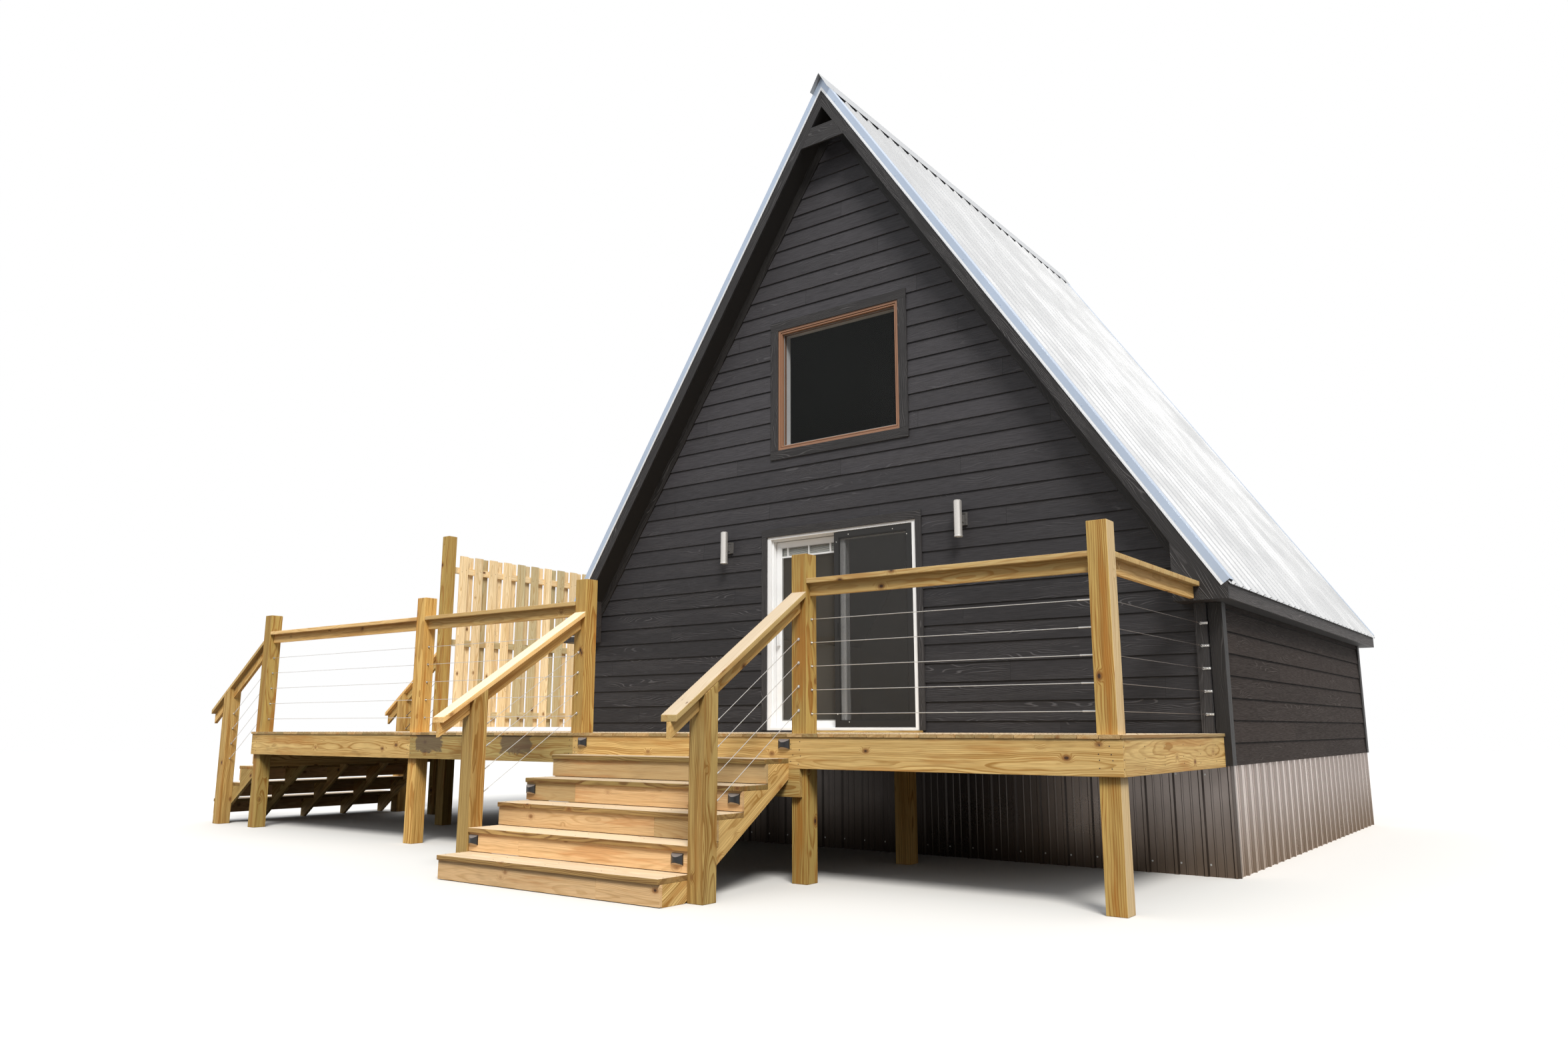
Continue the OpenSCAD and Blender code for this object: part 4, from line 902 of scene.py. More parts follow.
# %% Nodes that keep their shape
PLAIN = {
    "front_siding": (SIDING_FRONT, "siding"), "side_siding": (SIDING_SIDE, "siding"),
    "back_siding": (SIDING_REAR, "siding"), "roof_sheets": (ROOF_METAL, "roof_metal"),
    "ridge_cap": (ROOF_METAL, "roof_metal"), "skirts": (SKIRT_METAL, "skirt_metal"),
    "front_wall_left": (LINING, "wall_lining"),
    "front_wall_right": (LINING, "wall_lining"), "front_gable": (LINING, "wall_lining"),
    "back_gable": (LINING, "wall_lining"), "knee_walls": (LINING, "wall_lining"),
    "roof_left": (SOFFIT, "roof_deck"), "roof_right": (SOFFIT, "roof_deck"),
    "floor_boards": (FLOOR_PLANKS, "floor_planks"), "cabin_floor": (FLOOR_PLANKS, "floor_framing"),
    "rail_cables": (CABLE, "cable_steel"), "stair_cables": (CABLE, "cable_steel"),
}
for node, (material, slot) in PLAIN.items():
    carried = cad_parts[node]
    carried.data.materials.clear()
    carried.data.materials.append(material)
print("nodes that keep their shape:", len(PLAIN))

# %% [markdown]
# ## Vinyl, lamps and sheet trim
# Extruded vinyl has soft corners that catch a line of light, and so do the lamps. These solids are copied and rounded
# as the lumber is, without grain. Where one solid has two finishes, such as the white hem of the blue-grey trim, the
# faces are told apart by where they lie.

# %% Smooth parts
LAMP_PLATE_Y = -0.06
HEM = 0.003


def smooth_part(name, nodes, materials, radius, body="cabin", choose=None, sharper=25):
    """CAD nodes as one piece with rounded edges. The function choose gives each face one of the materials."""
    work = welded(nodes)
    if choose:
        for face in work.faces:
            face.material_index = choose(face)
    rounded(work, radius, sharper=sharper)
    made = piece(name, as_mesh(work, name, materials), body, nodes)
    print(f"{name}: {len(made.data.polygons)} faces")


smooth_part("frame_of_door", ["door_jambs", "door_sill_and_head"], [VINYL], 0.0018)
smooth_part("lamps_on_wall", ["wall_lights"], [STEEL_LAMP, BRACKET], 0.0012,
            choose=lambda face: int(face.calc_center_median().y > LAMP_PLATE_Y))
roof_y0, roof_y1 = [corner[1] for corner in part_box("rake_boards")]
smooth_part("trims_of_rakes", ["rake_trims"], [RAKE_METAL, WHITE_EDGE], 0.0007,
            choose=lambda face: int(not roof_y0 - HEM < face.calc_center_median().y < roof_y1 + HEM),
            sharper=40)

# %% [markdown]
# ## Door, screen and windows
# The panes are part of the same solids as their frames, so the faces that lie on a pane's two planes become glass,
# and everything else stays vinyl. The room behind is dark, but the sliding pane looks paler than the windows, so it
# has a glass of its own. The screen's sheet becomes the insect mesh in the same way.

# %% Glazed parts
PANE_T = 0.016
FIXED_PANE, SLIDING_PANE, WINDOW_PANE = 0.0495, 0.0945, 0.037
SCREEN_SHEET = (0.020, 0.022)


def glazed(name, node, materials, planes, body="cabin", radius=0.0015):
    """A framed pane. The planes are the pane's two faces in Y."""

    def on_pane(face):
        middle = face.calc_center_median()
        flat = abs(abs(face.normal.y) - 1) < 1e-3
        return int(flat and min(abs(middle.y - plane) for plane in planes) < 4e-4)

    smooth_part(name, [node], materials, radius, body, on_pane)


glazed("fixed_panel", "fixed_door_panel", [VINYL, GLASS], (FIXED_PANE, FIXED_PANE + PANE_T))
glazed("sliding_panel", "sliding_door_panel", [VINYL, GLASS_DOOR], (SLIDING_PANE, SLIDING_PANE + PANE_T),
       "sliding_door")
glazed("screen", "screen_door", [BLACK_METAL, MESH], SCREEN_SHEET, "screen_door", 0.001)
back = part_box("back_window")[1][1]
glazed("window_front", "front_window", [TAN_VINYL, GLASS], (WINDOW_PANE, WINDOW_PANE + PANE_T))
glazed("window_back", "back_window", [TAN_VINYL, GLASS], (back - WINDOW_PANE, back - WINDOW_PANE - PANE_T))

# %% [markdown]
# ## Growing pieces with Geometry Nodes
# What repeats is grown on loose points: each point is one board, screw or fitting, and the tree says what grows
# there. A point can carry its own length, turn or facing as an attribute. The tree ends in real geometry, which is
# then kept as a plain mesh.


# %% Helpers for Geometry Nodes
def geometry_tree(name, inputs):
    """A tree with named inputs. Gives back the tree, its recipe, its inputs and its output node."""
    tree = bpy.data.node_groups.new(name, "GeometryNodeTree")
    tree.interface.new_socket("Geometry", in_out="INPUT", socket_type="NodeSocketGeometry")
    for label, kind, value in inputs:
        socket = tree.interface.new_socket(label, in_out="INPUT", socket_type="NodeSocket" + kind)
        if value is not None:
            socket.default_value = value
    tree.interface.new_socket("Geometry", in_out="OUTPUT", socket_type="NodeSocketGeometry")
    n = Recipe(tree)
    return tree, n, n("NodeGroupInput").outputs, n("NodeGroupOutput")


def grow(name, tree, points, settings=(), vectors=()):
    """Runs a tree on loose points and gives back the plain mesh."""
    carrier = bpy.data.meshes.new(name)
    carrier.from_pydata([tuple(p) for p in points], [], [])
    for label, values in dict(vectors).items():
        store = carrier.attributes.new(label, "FLOAT_VECTOR", "POINT")
        store.data.foreach_set("vector", np.array(values, float).ravel())
    holder = bpy.data.objects.new(name, carrier)
    scene.collection.objects.link(holder)
    modifier = holder.modifiers.new("Grow", "NODES")
    modifier.node_group = tree
    for socket in tree.interface.items_tree:
        if socket.in_out == "INPUT" and socket.name in dict(settings):
            modifier[socket.identifier] = dict(settings)[socket.name]
    holder.update_tag()
    graph = bpy.context.evaluated_depsgraph_get()
    mesh = bpy.data.meshes.new_from_object(holder.evaluated_get(graph), preserve_all_data_layers=True,
                                           depsgraph=graph)
    bpy.data.objects.remove(holder)
    bpy.data.meshes.remove(carrier)
    mesh.name = name
    return mesh


# %% [markdown]
# The first tree grows boards. Its profile is a rectangle with filleted corners, swept along a line of one metre with
# capped ends. Each point then turns its board and stretches it to its own length. A cube could be stretched too, but
# its rounded edges would be stretched with it, while a sweep keeps them round.

# %% A tree that grows boards
board_tree, n, given, out = geometry_tree("Grow boards", [
    ("Width", "Float", 0.14), ("Thickness", "Float", 0.025), ("Edge Radius", "Float", 0.004),
    ("Material", "Material", None)])
outline = n("GeometryNodeCurvePrimitiveQuadrilateral", {"Width": given["Width"],
                                                        "Height": given["Thickness"]})
outline = n("GeometryNodeFilletCurve", {"Curve": outline.outputs[0], "Count": 2,
                                        "Radius": given["Edge Radius"]}, mode="POLY")
spine = n("GeometryNodeCurvePrimitiveLine", {"Start": (0, 0, 0), "End": (1, 0, 0)})
board = n("GeometryNodeCurveToMesh", {"Curve": spine.outputs[0], "Profile Curve": outline.outputs[0],
                                      "Fill Caps": True})
turn = n("GeometryNodeInputNamedAttribute", {"Name": "turn"}, data_type="FLOAT_VECTOR").outputs[0]
size = n("GeometryNodeInputNamedAttribute", {"Name": "size"}, data_type="FLOAT_VECTOR").outputs[0]
turned = n("FunctionNodeEulerToRotation", {0: turn}).outputs[0]
placed = n("GeometryNodeInstanceOnPoints", {"Points": given["Geometry"], "Instance": board.outputs[0],
                                            "Rotation": turned, "Scale": size})
real = n("GeometryNodeRealizeInstances", {"Geometry": placed.outputs[0]})
done = n("GeometryNodeSetMaterial", {"Geometry": real.outputs[0], "Material": given["Material"]})
board_tree.links.new(done.outputs[0], out.inputs[0])
print("board tree:", len(board_tree.nodes), "nodes")

# %% [markdown]
# ## Deck boards and pickets
# Each deck board runs from the front edge to the wall, so the front shows a row of end grain. CAD keeps the deck as
# two slabs with grooves. Here each board is grown on a point at its front end, as long as its slab, and the rows
# follow the same pitch. The last board of a field is ripped narrower, as on a real deck.


# %% Grow the deck boards
def grown_boards(name, rows, thickness, radius, material, node, seed):
    """Boards from (start, turn, length, width) rows, one growth for each width."""
    work = bmesh.new()
    for width in sorted({round(row[3], 4) for row in rows}):
        own = [row for row in rows if round(row[3], 4) == width]
        mesh = grow(name, board_tree, [row[0] for row in own],
                    {"Width": width, "Thickness": thickness, "Edge Radius": radius, "Material": material},
                    {"turn": [row[1] for row in own], "size": [(row[2], 1, 1) for row in own]})
        work.from_mesh(mesh)
        bpy.data.meshes.remove(mesh)
    bmesh.ops.remove_doubles(work, verts=work.verts, dist=1e-5)
    bmesh.ops.recalc_face_normals(work, faces=work.faces)
    mesh = as_mesh(work, name, [material], 40)
    count = lay_grain(mesh, seed)
    piece(name, mesh, "cabin", [node])
    print(f"{name}: {count} boards, {len(mesh.polygons)} faces")


BOARD, BOARD_GAP, BOARD_T = 0.14, 0.004, 0.025
deck_rows = []
for low, high in parts_of("decking"):
    start = low[0]
    while start < high[0] - 0.005:
        width = min(BOARD, high[0] - start)
        front = (start + width / 2, low[1], high[2] - BOARD_T / 2)
        deck_rows.append((front, (0, 0, math.pi / 2), high[1] - low[1], width))
        start += BOARD + BOARD_GAP
grown_boards("deck_boards", deck_rows, BOARD_T, 0.004, PINE_DECKING, "decking", 31)

# %% [markdown]
# The pickets of the fence stand on both faces of its rails. Their places are read off the CAD solids, and each is
# turned upright, with its width along the fence.

# %% Grow the pickets
PICKET_T = 0.019
rows = []
for low, high in parts_of("fence_pickets"):
    middle = (low + high) / 2
    rows.append(((middle[0], middle[1], low[2]), (0, -math.pi / 2, 0), high[2] - low[2], high[1] - low[1]))
grown_boards("pickets", rows, PICKET_T, 0.003, PINE_FENCE, "fence_pickets", 41)

# %% [markdown]
# ## Screws and cable fittings
# Hundreds of fasteners hold this cabin together, and their rows of dots are what makes sheet metal and decking look
# real from near. One tree grows them all: a washer and a domed head on each point, turned so that it faces away from
# what it sits on. Each use only changes the sizes.

# %% A tree that grows fasteners
fastener_tree, n, given, out = geometry_tree("Grow fasteners", [
    ("Head Radius", "Float", 0.005), ("Head Height", "Float", 0.004), ("Washer Radius", "Float", 0.008),
    ("Washer Height", "Float", 0.002), ("Sides", "Int", 8), ("Material", "Material", None)])
washer = n("GeometryNodeMeshCylinder", {"Vertices": given["Sides"], "Radius": given["Washer Radius"],
                                        "Depth": given["Washer Height"]})
head = n("GeometryNodeMeshUVSphere", {"Segments": given["Sides"], "Rings": 4, "Radius": 1.0})
head = n("GeometryNodeTransform", {"Geometry": head.outputs[0], "Scale": n.xyz(
    given["Head Radius"], given["Head Radius"], given["Head Height"])})
both = n("GeometryNodeJoinGeometry")
for part in (washer, head):
    fastener_tree.links.new(part.outputs[0], both.inputs[0])
facing = n("GeometryNodeInputNamedAttribute", {"Name": "facing"}, data_type="FLOAT_VECTOR").outputs[0]
turned = n("FunctionNodeAlignRotationToVector", {"Vector": facing}, axis="Z").outputs[0]
placed = n("GeometryNodeInstanceOnPoints", {"Points": given["Geometry"], "Instance": both.outputs[0],
                                            "Rotation": turned})
real = n("GeometryNodeRealizeInstances", {"Geometry": placed.outputs[0]})
done = n("GeometryNodeSetMaterial", {"Geometry": real.outputs[0], "Material": given["Material"]})
fastener_tree.links.new(done.outputs[0], out.inputs[0])
print("fastener tree:", len(fastener_tree.nodes), "nodes")


def fasteners(name, places, facings, material, slot, head=0.005, height=0.004, washer=0.008, thick=0.002,
              sides=8, body="cabin"):
    """One fastener on each place, as one piece."""
    mesh = grow(name, fastener_tree, places,
                {"Head Radius": head, "Head Height": height, "Washer Radius": washer, "Washer Height": thick,
                 "Sides": sides, "Material": material}, {"facing": facings})
    mesh.shade_smooth()
    mesh.set_sharp_from_angle(angle=math.radians(40))
    piece(name, mesh, body)
    print(f"{name}: {len(places)} fasteners, {len(mesh.polygons)} faces")


# %% [markdown]
# Roof screws stand in rows across the sheets, one beside each main rib. A point on the roof is found from its
# distance down the slope and its distance along the ridge. The legs of the ridge's cap are steeper than the roof,
# because the peak of the cap is lifted, so its screws need a slope of their own.

# %% Screws of the roof
RIB_PITCH, METAL_T, SHEET_T = 0.229, 0.021, 0.002
CAP_LIFT, CAP_T, CAP_LEG, CAP_SCREW = 0.03, 0.004, 0.2, 0.088
BESIDE_RIB = 0.036
SCREW_ROWS = 12
ridge_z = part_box("ridge_cap")[1][2] - CAP_LIFT
roof_mid = (roof_y0 + roof_y1) / 2
slope_end = (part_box("roof_sheets")[1][0]) / math.cos(PITCH) - 0.03


def on_roof(side, down, y, lift):
    """A point on the roof metal, and which way it faces."""
    out_x, out_z = math.sin(PITCH), math.cos(PITCH)
    x = down * math.cos(PITCH) + lift * out_x
    z = ridge_z - METAL_T / math.cos(PITCH) - down * math.sin(PITCH) + lift * out_z
    return (side * x, y, z), (side * out_x, 0, out_z)


rib_count = int((roof_y1 - roof_y0) / 2 / RIB_PITCH)
ribs = [roof_mid + k * RIB_PITCH for k in range(-rib_count, rib_count + 1)]
downs = [0.24 + k * (slope_end - 0.3) / (SCREW_ROWS - 1) for k in range(SCREW_ROWS)]
spots = [on_roof(side, down, y + BESIDE_RIB, SHEET_T + 0.001) for side in (-1, 1) for down in downs
         for y in ribs if roof_y0 + 0.14 < y + BESIDE_RIB < roof_y1 - 0.14]
fasteners("screws_of_roof", *zip(*spots), SCREW_METAL, "roof_metal", sides=6)

leg = CAP_LEG * math.cos(PITCH)
cap_fall = (CAP_LIFT + leg * math.tan(PITCH) - CAP_T / math.cos(PITCH)) / leg
cap_turn = math.atan(cap_fall)
spots = [((side * CAP_SCREW, y, ridge_z + CAP_LIFT - CAP_SCREW * cap_fall + 0.0015),
          (side * math.sin(cap_turn), 0, math.cos(cap_turn))) for side in (-1, 1) for y in ribs]
fasteners("screws_of_ridge", *zip(*spots), SCREW_METAL, "roof_metal", sides=6)

# %% Screws of skirts and rakes
SKIRT_DEPTH = 0.018
low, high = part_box("skirts")
spots = []
for z in (0.09, high[2] - 0.07):
    for k in range(-15, 16):
        x = k * RIB_PITCH + BESIDE_RIB
        spots += [((x, low[1] + SKIRT_DEPTH, z), (0, -1, 0)), ((x, high[1] - SKIRT_DEPTH, z), (0, 1, 0))]
    for k in range(-12, 13):
        y = (low[1] + high[1]) / 2 + k * RIB_PITCH + BESIDE_RIB
        spots += [((side * (high[0] - SKIRT_DEPTH), y, z), (side, 0, 0)) for side in (-1, 1)]
fasteners("screws_of_skirts", *zip(*spots), SCREW_METAL, "skirt_metal", sides=6)

spots = []
for face_y, direction in ((roof_y0 - 0.003, (0, -1, 0)), (roof_y1 + 0.003, (0, 1, 0))):
    for side in (-1, 1):
        spots += [(on_roof(side, 0.35 + k * 0.66, face_y, -0.022)[0], direction) for k in range(10)]
fasteners("screws_of_rakes", *zip(*spots), RAKE_METAL, "edge_metal", 0.004, 0.003, 0.0065, 0.0015, 6)

# %% [markdown]
# Deck screws go in pairs where a board crosses a beam of the frame. The beams are read off the CAD solids, so the
# rows fall exactly on them. Treads, risers and pickets are fixed in the same way to their stringers and rails.

# %% Screws of the deck
WOOD_SCREW = (0.0045, 0.0012, 0.0048, 0.001, 6)
PROUD = 0.0004
BOARD_SCREWS = (-0.042, 0.042)
beams = [(low, high) for low, high in parts_of("deck_frame") if high[1] - low[1] < 0.05]
beam_rows = sorted({round((low[1] + high[1]) / 2, 3) for low, high in beams})
deck_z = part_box("decking")[1][2]
spots = []
for start, turn, length, width in deck_rows:
    for y in beam_rows:
        crosses = any(low[0] < start[0] < high[0] and low[1] < y < high[1] for low, high in beams)
        if crosses and start[1] < y < start[1] + length and width > 0.1:
            spots += [((start[0] + shift, y, deck_z + PROUD), (0, 0, 1)) for shift in BOARD_SCREWS]
fasteners("screws_of_deck", *zip(*spots), DECK_SCREW, "deck_boards", *WOOD_SCREW)

# %% [markdown]
# The rim is nailed by hand: a loose group over each post, and a column at each joist's end on the right side. A
# seeded random number moves each nail a little, so the groups differ and every run gives the same ones.

# %% Nails of the rim
random = np.random.default_rng(61)
rim_low, rim_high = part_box("deck_frame")
spots = []
for low, high in parts_of("deck_posts"):
    if low[1] > rim_low[1] + 0.1:
        continue
    for z in (0.885, 0.93, 0.975, 1.03):
        for x in (low[0] + 0.028, high[0] - 0.04):
            nail_x, nail_z = x + random.uniform(-0.012, 0.012), z + random.uniform(-0.012, 0.012)
            spots.append(((nail_x, rim_low[1] - 0.0002, nail_z), (0, -1, 0)))
for low, high in beams:
    if high[0] > 3.5:
        for z in (0.89, 0.95, 1.02):
            nail_y = (low[1] + high[1]) / 2 + random.uniform(-0.008, 0.008)
            spots.append(((rim_high[0] + 0.0002, nail_y, z + random.uniform(-0.01, 0.01)), (1, 0, 0)))
fasteners("nails_of_rim", *zip(*spots), NAIL, "deck_boards", 0.0042, 0.0012, 0.0044, 0.001, 6)

# %% Screws of stairs and fence
TREAD_SCREWS = (0.07, 0.2)
stringers = parts_of("stair_stringers")
spots = []
for low, high in parts_of("stair_treads"):
    for s_low, s_high in stringers:
        middle = (s_low + s_high) / 2
        main = s_high[0] - s_low[0] < 0.05
        if main and low[0] <= middle[0] <= high[0] and s_low[1] < high[1] and low[1] < -2.2:
            spots += [((middle[0], low[1] + reach, high[2] + PROUD), (0, 0, 1)) for reach in TREAD_SCREWS]
        if not main and low[1] <= middle[1] <= high[1] and low[0] < -6.8 and s_low[0] < -6.8:
            spots += [((low[0] + reach, middle[1], high[2] + PROUD), (0, 0, 1)) for reach in TREAD_SCREWS]
fasteners("screws_of_treads", *zip(*spots), DECK_SCREW, "stair_wood", *WOOD_SCREW)

rails = parts_of("fence_rails")
spots = []
for low, high in parts_of("fence_pickets"):
    outside = high[0] < rails[0][1][0]
    x, direction = (low[0] - PROUD, (-1, 0, 0)) if outside else (high[0] + PROUD, (1, 0, 0))
    for r_low, r_high in rails:
        spots += [((x, (low[1] + high[1]) / 2 + shift, (r_low[2] + r_high[2]) / 2 + shift * 0.4), direction)
                  for shift in (-0.035, 0.035)]
fasteners("screws_of_fence", *zip(*spots), DECK_SCREW, "fence_wood", *WOOD_SCREW)

# %% [markdown]
# Every cable leaves its post through a washer and a domed nut. The ends of the cables give the places: a level cable
# ends at its box's two ends, and a sloping one starts high at the deck and ends low at the newel.

# %% Cable fittings
NUT_OUT, NUT_DOWN = 0.0015, 0.006
spots = []
for low, high in parts_of("rail_cables"):
    middle = (low + high) / 2
    for end, sign in ((low, 1), (high, -1)):
        if high[0] - low[0] > high[1] - low[1]:
            spots.append(((end[0] + sign * NUT_OUT, middle[1], middle[2]), (sign, 0, 0)))
        else:
            spots.append(((middle[0], end[1] + sign * NUT_OUT, middle[2]), (0, sign, 0)))
for low, high in parts_of("stair_cables"):
    middle = (low + high) / 2
    if high[0] - low[0] < 0.02:
        spots += [((middle[0], high[1] - NUT_OUT, high[2] - NUT_DOWN), (0, -1, 0)),
                  ((middle[0], low[1] + NUT_OUT, low[2] + NUT_DOWN), (0, 1, 0))]
    else:
        spots += [((high[0] - NUT_OUT, middle[1], high[2] - NUT_DOWN), (-1, 0, 0)),
                  ((low[0] + NUT_OUT, middle[1], low[2] + NUT_DOWN), (1, 0, 0))]
fasteners("fittings_of_cables", *zip(*spots), FITTING, "cable_steel", 0.0075, 0.014, 0.0115, 0.003, 12)

# %% [markdown]
# On the wall's boards there is no post to drill through, so each cable ends in a flange with two screws. A flange is
# a small plate, and the function for boards makes it from the corners of its box.

# %% Flanges on the wall's boards
flanges, spots = [], []
for low, high in parts_of("rail_cables"):
    if high[1] - low[1] > 0.5 and low[0] > 0:
        x, y, z = (low[0] + high[0]) / 2, high[1], (low[2] + high[2]) / 2
        flanges.append(((x - 0.006, y - 0.0045, z - 0.009), (x + 0.056, y - 0.0002, z + 0.009)))
        spots += [((x + reach, y - 0.0052, z), (0, -1, 0)) for reach in (0.026, 0.046)]
box_boards("flanges_of_cables", flanges, FITTING, 0.001, 71)
fasteners("screws_of_flanges", *zip(*spots), FITTING, "cable_steel", 0.0045, 0.0022, 0.005, 0.001, 10)

# %% [markdown]
# ## Step lights
# A small solar light sits at both ends of the rim and of every second riser. Its face is bowed, its top slopes to the
# front as a solar panel, painted grey as sky light, and its underside slopes the other way with a frosted lens,
# tinted as a painted reflection of the pale wood below, so the black face looks waisted.
# Each is a row of sections across the light: the deeper the section, the lower its top and the higher its foot. The
# two lower lights on the right sit further in than their solids.

# %% Build the step lights
LIGHT_W, LIGHT_H, LIGHT_SIDE, LIGHT_BOW = 0.102, 0.08, 0.012, 0.022
LIGHT_STEPS = 12
TOP_SLOPE, FOOT_SLOPE = 0.75, 0.55
LOWEST_IN, MIDDLE_IN = 0.044, 0.013
work = bmesh.new()
for low, high in parts_of("step_lights"):
    x0, top = low[0], high[2] - 0.006
    on_right = low[0] > 0
    if on_right and high[2] < 0.4:
        x0 = high[0] - LOWEST_IN - LIGHT_W
    elif on_right and high[2] < 0.8:
        x0 = high[0] - MIDDLE_IN - LIGHT_W
    rows = []
    for k in range(LIGHT_STEPS + 1):
        deep = LIGHT_SIDE + LIGHT_BOW * math.sin(math.pi * k / LIGHT_STEPS)
        x = x0 + LIGHT_W * k / LIGHT_STEPS
        rows.append([work.verts.new(point) for point in (
            (x, high[1], top), (x, high[1] - deep, top - TOP_SLOPE * deep),
            (x, high[1] - deep, top - LIGHT_H + FOOT_SLOPE * deep), (x, high[1], top - LIGHT_H))])
    for one, two in zip(rows, rows[1:]):
        for k, finish in enumerate((1, 0, 2, 0)):
            face = work.faces.new((one[k], one[(k + 1) % 4], two[(k + 1) % 4], two[k]))
            face.material_index = finish
    work.faces.new(rows[0])
    work.faces.new(rows[-1])
bmesh.ops.recalc_face_normals(work, faces=work.faces)
rounded(work, 0.0012)
mesh = as_mesh(work, "lamps_on_steps", [BLACK_LIGHT, SOLAR_PANEL_WITH_SKY_LIGHT, LENS_WITH_WOOD_REFLECTION])
piece("lamps_on_steps", mesh, "cabin", ["step_lights"])
print("step lights:", len(parts_of("step_lights")), "with", len(mesh.polygons), "faces")

# %% [markdown]
# ## Spacers and liners
# A pale spacer runs round the edge of each double pane, and a liner closes the gap between a window and the wall's
# lining. Both are flat rings with mitred corners. A ring is four loops of corners, one for each edge of its section,
# joined by faces.


# %% Rings round the panes
def rings(name, outlines, width, material, body="cabin"):
    """Flat mitred rings in the XZ plane: (x0, x1, z0, z1, y0, y1) each."""
    work = bmesh.new()
    for x0, x1, z0, z1, y0, y1 in outlines:
        loops = []
        for inset, y in ((0, y0), (width, y0), (width, y1), (0, y1)):
            corners = ((x0 + inset, z0 + inset), (x1 - inset, z0 + inset), (x1 - inset, z1 - inset),
                       (x0 + inset, z1 - inset))
            loops.append([work.verts.new((x, y, z)) for x, z in corners])
        for a in range(4):
            for k in range(4):
                one, two = loops[a], loops[(a + 1) % 4]
                work.faces.new((one[k], one[(k + 1) % 4], two[(k + 1) % 4], two[k]))
    bmesh.ops.recalc_face_normals(work, faces=work.faces)
    rounded(work, 0.0008, 1)
    mesh = as_mesh(work, name, [material])
    piece(name, mesh, body)
    print(f"{name}: {len(outlines)} rings, {len(mesh.polygons)} faces")


WINDOW_FRAME, STILE = 0.046, 0.064
SPACER_IN, SPACER_W = 0.006, 0.007
LINER_OUT = 0.016
LINER_GAP = 0.0005
(wx0, wz0), (wx1, wz1) = [(c[0], c[2]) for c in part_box("front_window")]
wx0, wx1, wz0, wz1 = wx0 + WINDOW_FRAME, wx1 - WINDOW_FRAME, wz0 + WINDOW_FRAME, wz1 - WINDOW_FRAME
pane_edge = (wx0 + SPACER_IN, wx1 - SPACER_IN, wz0 + SPACER_IN, wz1 - SPACER_IN)
rings("spacers_of_windows", [(*pane_edge, y, y + 0.001) for y in (0.0355, back - 0.0365)], SPACER_W, SPACER)
lining_edge = (wx0 - LINER_OUT, wx1 + LINER_OUT, wz0 - LINER_OUT, wz1 + LINER_OUT)
gable_in, gable_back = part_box("front_gable")[1][1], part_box("back_gable")[0][1]
window_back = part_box("front_window")[1][1]
rings("liners_of_windows", [(*lining_edge, window_back + LINER_GAP, gable_in - LINER_GAP),
                            (*lining_edge, gable_back + LINER_GAP, back - window_back - LINER_GAP)],
      LINER_OUT, VINYL)
(fx0, fz0), (fx1, fz1) = [(c[0], c[2]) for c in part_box("fixed_door_panel")]
(sx0, sz0), (sx1, sz1) = [(c[0], c[2]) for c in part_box("sliding_door_panel")]
PANEL_IN, PANEL_SPACER = STILE + 0.003, 0.006
fixed_edge = (fx0 + PANEL_IN, fx1 - PANEL_IN, fz0 + PANEL_IN, fz1 - PANEL_IN)
sliding_edge = (sx0 + PANEL_IN, sx1 - PANEL_IN, sz0 + PANEL_IN, sz1 - PANEL_IN)
rings("spacer_of_fixed_pane", [(*fixed_edge, 0.048, 0.049)], PANEL_SPACER, SPACER)
rings("spacer_of_sliding_pane", [(*sliding_edge, 0.093, 0.094)], PANEL_SPACER, SPACER,
      "sliding_door")

# %% [markdown]
# ## Small parts of the door
# A stack of blind slats is drawn up behind the bars of the sliding panel and rides on it. The tree for boards grows
# them too, with a thin profile that is tilted about its length.

# %% Slats of the blind
SLAT_COUNT, SLAT_PITCH, SLAT_TILT = 8, 0.0105, math.radians(62)
SLAT_Y, SLAT_SIDE, SLAT_TOP = 0.1145, 0.004, 0.012
slat_x, slat_z = sx0 + STILE + SLAT_SIDE, sz1 - STILE - SLAT_TOP
slat_length = sx1 - sx0 - 2 * STILE - 2 * SLAT_SIDE
slat_ends = [(slat_x, SLAT_Y, slat_z - k * SLAT_PITCH) for k in range(SLAT_COUNT)]
mesh = grow("slats_of_blind", board_tree, slat_ends,
            {"Width": 0.0085, "Thickness": 0.0012, "Edge Radius": 0.0004, "Material": SLAT},
            {"turn": [(SLAT_TILT, 0, 0)] * SLAT_COUNT, "size": [(slat_length, 1, 1)] * SLAT_COUNT})
piece("slats_of_blind", mesh, "sliding_door")
print("slats:", SLAT_COUNT, "of", round(slat_length, 3), "m")

# %% [markdown]
# A strip of timber closes the joint under the door's sill, and six screws with pale heads hold the corners of the
# screen together. The screws ride on the screen, so that they slide with it.

# %% Strip under the sill, screws of the screen
SILL_STRIP = ((-0.47, -0.012, 1.1), (0.94, -0.0004, 1.119))
box_boards("strip_under_sill", [SILL_STRIP], PINE_DECK, 0.0015, 51)

SCREEN_SCREWS = ((0.12, -0.033), (0.64, -0.033), (0.80, -0.1), (-0.026, -0.1), (-0.026, -1.83),
                 (0.11, -1.905))
screen_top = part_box("screen_door")[1][2]
fasteners("screws_of_screen", [(x, 0.0115, screen_top + z) for x, z in SCREEN_SCREWS], [(0, -1, 0)] * 6,
          SCREW_PALE, "black_frame", 0.0045, 0.002, 0.005, 0.001, 10, "screen_door")

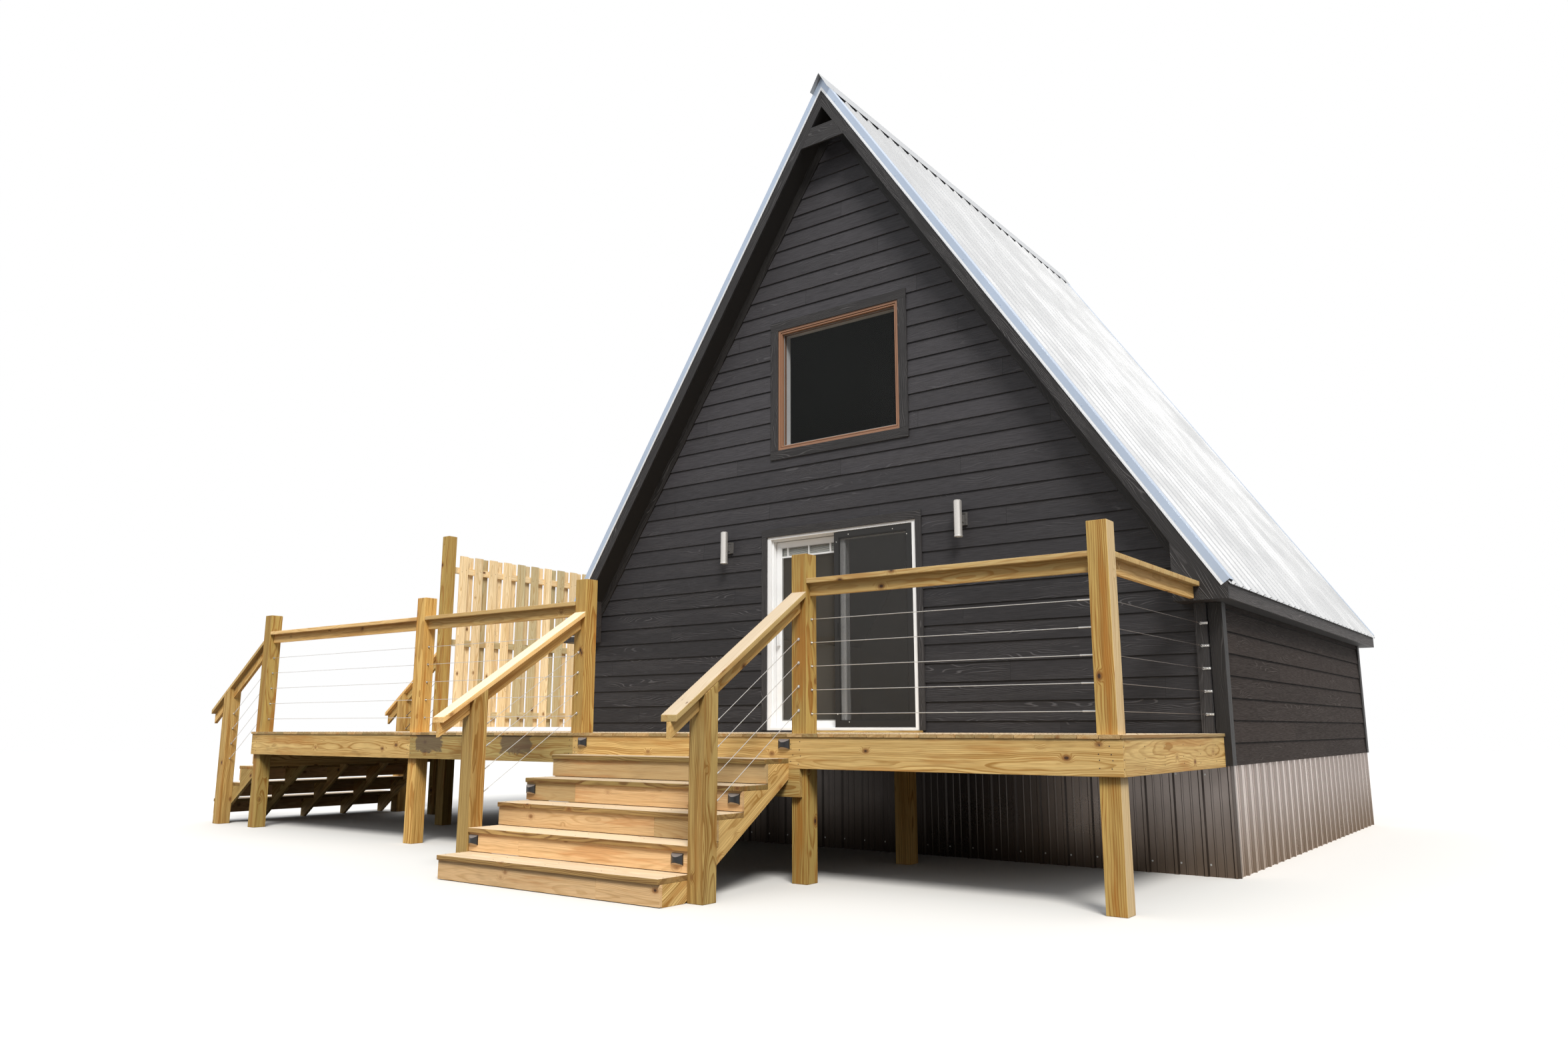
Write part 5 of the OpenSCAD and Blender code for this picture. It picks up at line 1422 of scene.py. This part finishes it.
# %% [markdown]
# ## Sky, sun and backdrop
# Outdoors the light comes from the whole sky, brightest overhead and dim at the horizon, with a soft sun from the
# side. A world of one strength would light undersides as much as tops, so its strength rises with height. The camera
# sees plain white there through Light Path, and metal and glass see half of it.

# %% Sky, sun and backdrop
SKY_TOP, SKY_LOW = 1.2, 0.17
SUN_STRENGTH = 3.6
world = bpy.data.worlds.new("Pale studio")
world.use_nodes = True
scene.world = world
air = Recipe(world.node_tree)
background = world.node_tree.nodes["Background"]
up = air.split(air("ShaderNodeTexCoord").outputs["Generated"])[2]
rise = {"Value": up, "From Min": 0.0, "From Max": 0.8, "To Min": SKY_LOW, "To Max": SKY_TOP}
sky = air("ShaderNodeMapRange", rise, interpolation_type="SMOOTHSTEP").outputs["Result"]
world.node_tree.links.new(sky, background.inputs["Strength"])
background.inputs["Color"].default_value = (0.94, 0.965, 1.0, 1)
seen = air("ShaderNodeBackground", {"Color": (1, 1, 1, 1), "Strength": 1.0})
rays = air("ShaderNodeLightPath")
mirrored = air.math("MAXIMUM", rays.outputs["Is Glossy Ray"], rays.outputs["Is Transmission Ray"])
clear = air.math("MAXIMUM", rays.outputs["Is Camera Ray"], air.math("MULTIPLY", mirrored, 0.5))
both = air("ShaderNodeMixShader", {0: clear, 1: background.outputs[0], 2: seen.outputs[0]})
world.node_tree.links.new(both.outputs[0], world.node_tree.nodes["World Output"].inputs["Surface"])

sun_data = bpy.data.lights.new("Soft sun", "SUN")
sun_data.energy = SUN_STRENGTH
sun_data.angle = math.radians(20)
sun_data.color = (1.0, 0.97, 0.92)
sun = bpy.data.objects.new("Soft sun", sun_data)
sun.rotation_euler = (math.radians(42), 0, math.radians(45))
scene.collection.objects.link(sun)
print("sky:", SKY_LOW, "to", SKY_TOP, "sun:", sun_data.energy)

# %% [markdown]
# ## Floor
# The floor takes the shadow that ties the object to the ground. It is pale for the camera and in mirrors, but dark
# for the light that bounces off it, as real ground is, or the undersides of deck and eaves would glow. Far away it
# fades to the white of the backdrop, so no horizon shows.

# %% Floor
GROUND = 90
FLOOR_SEEN, FLOOR_BOUNCE = (0.64, 0.635, 0.62), (0.065, 0.06, 0.055)
FADE_START, FADE_END = 14.0, 60.0
corners = [(-GROUND, -GROUND, 0), (GROUND, -GROUND, 0), (GROUND, GROUND, 0), (-GROUND, GROUND, 0)]
ground_mesh = bpy.data.meshes.new("ground")
ground_mesh.from_pydata(corners, [], [(0, 1, 2, 3)])
ground = bpy.data.objects.new("ground", ground_mesh)
scene.collection.objects.link(ground)
pale = Finish("Pale floor", FLOOR_SEEN, 0.9)
ground_mesh.materials.append(pale.material)
rays = pale("ShaderNodeLightPath")
mirrored = pale.math("MAXIMUM", rays.outputs["Is Glossy Ray"], rays.outputs["Is Transmission Ray"])
seen = pale.math("MAXIMUM", rays.outputs["Is Camera Ray"], mirrored)
pale.use(pale.mix(seen, FLOOR_BOUNCE, FLOOR_SEEN))
far = pale.band(pale.vector("LENGTH", pale.place), FADE_START, FADE_END)
glow = pale("ShaderNodeEmission", {"Color": (1, 1, 1, 1), "Strength": 1.0})
share = pale.math("MULTIPLY", far, rays.outputs["Is Camera Ray"])
joined = pale("ShaderNodeMixShader", {0: share, 1: pale.shader.outputs[0], 2: glow.outputs[0]})
pale.tree.links.new(joined.outputs[0], pale.tree.nodes["Material Output"].inputs["Surface"])
print("floor:", 2 * GROUND, "m wide, white beyond", FADE_END, "m")
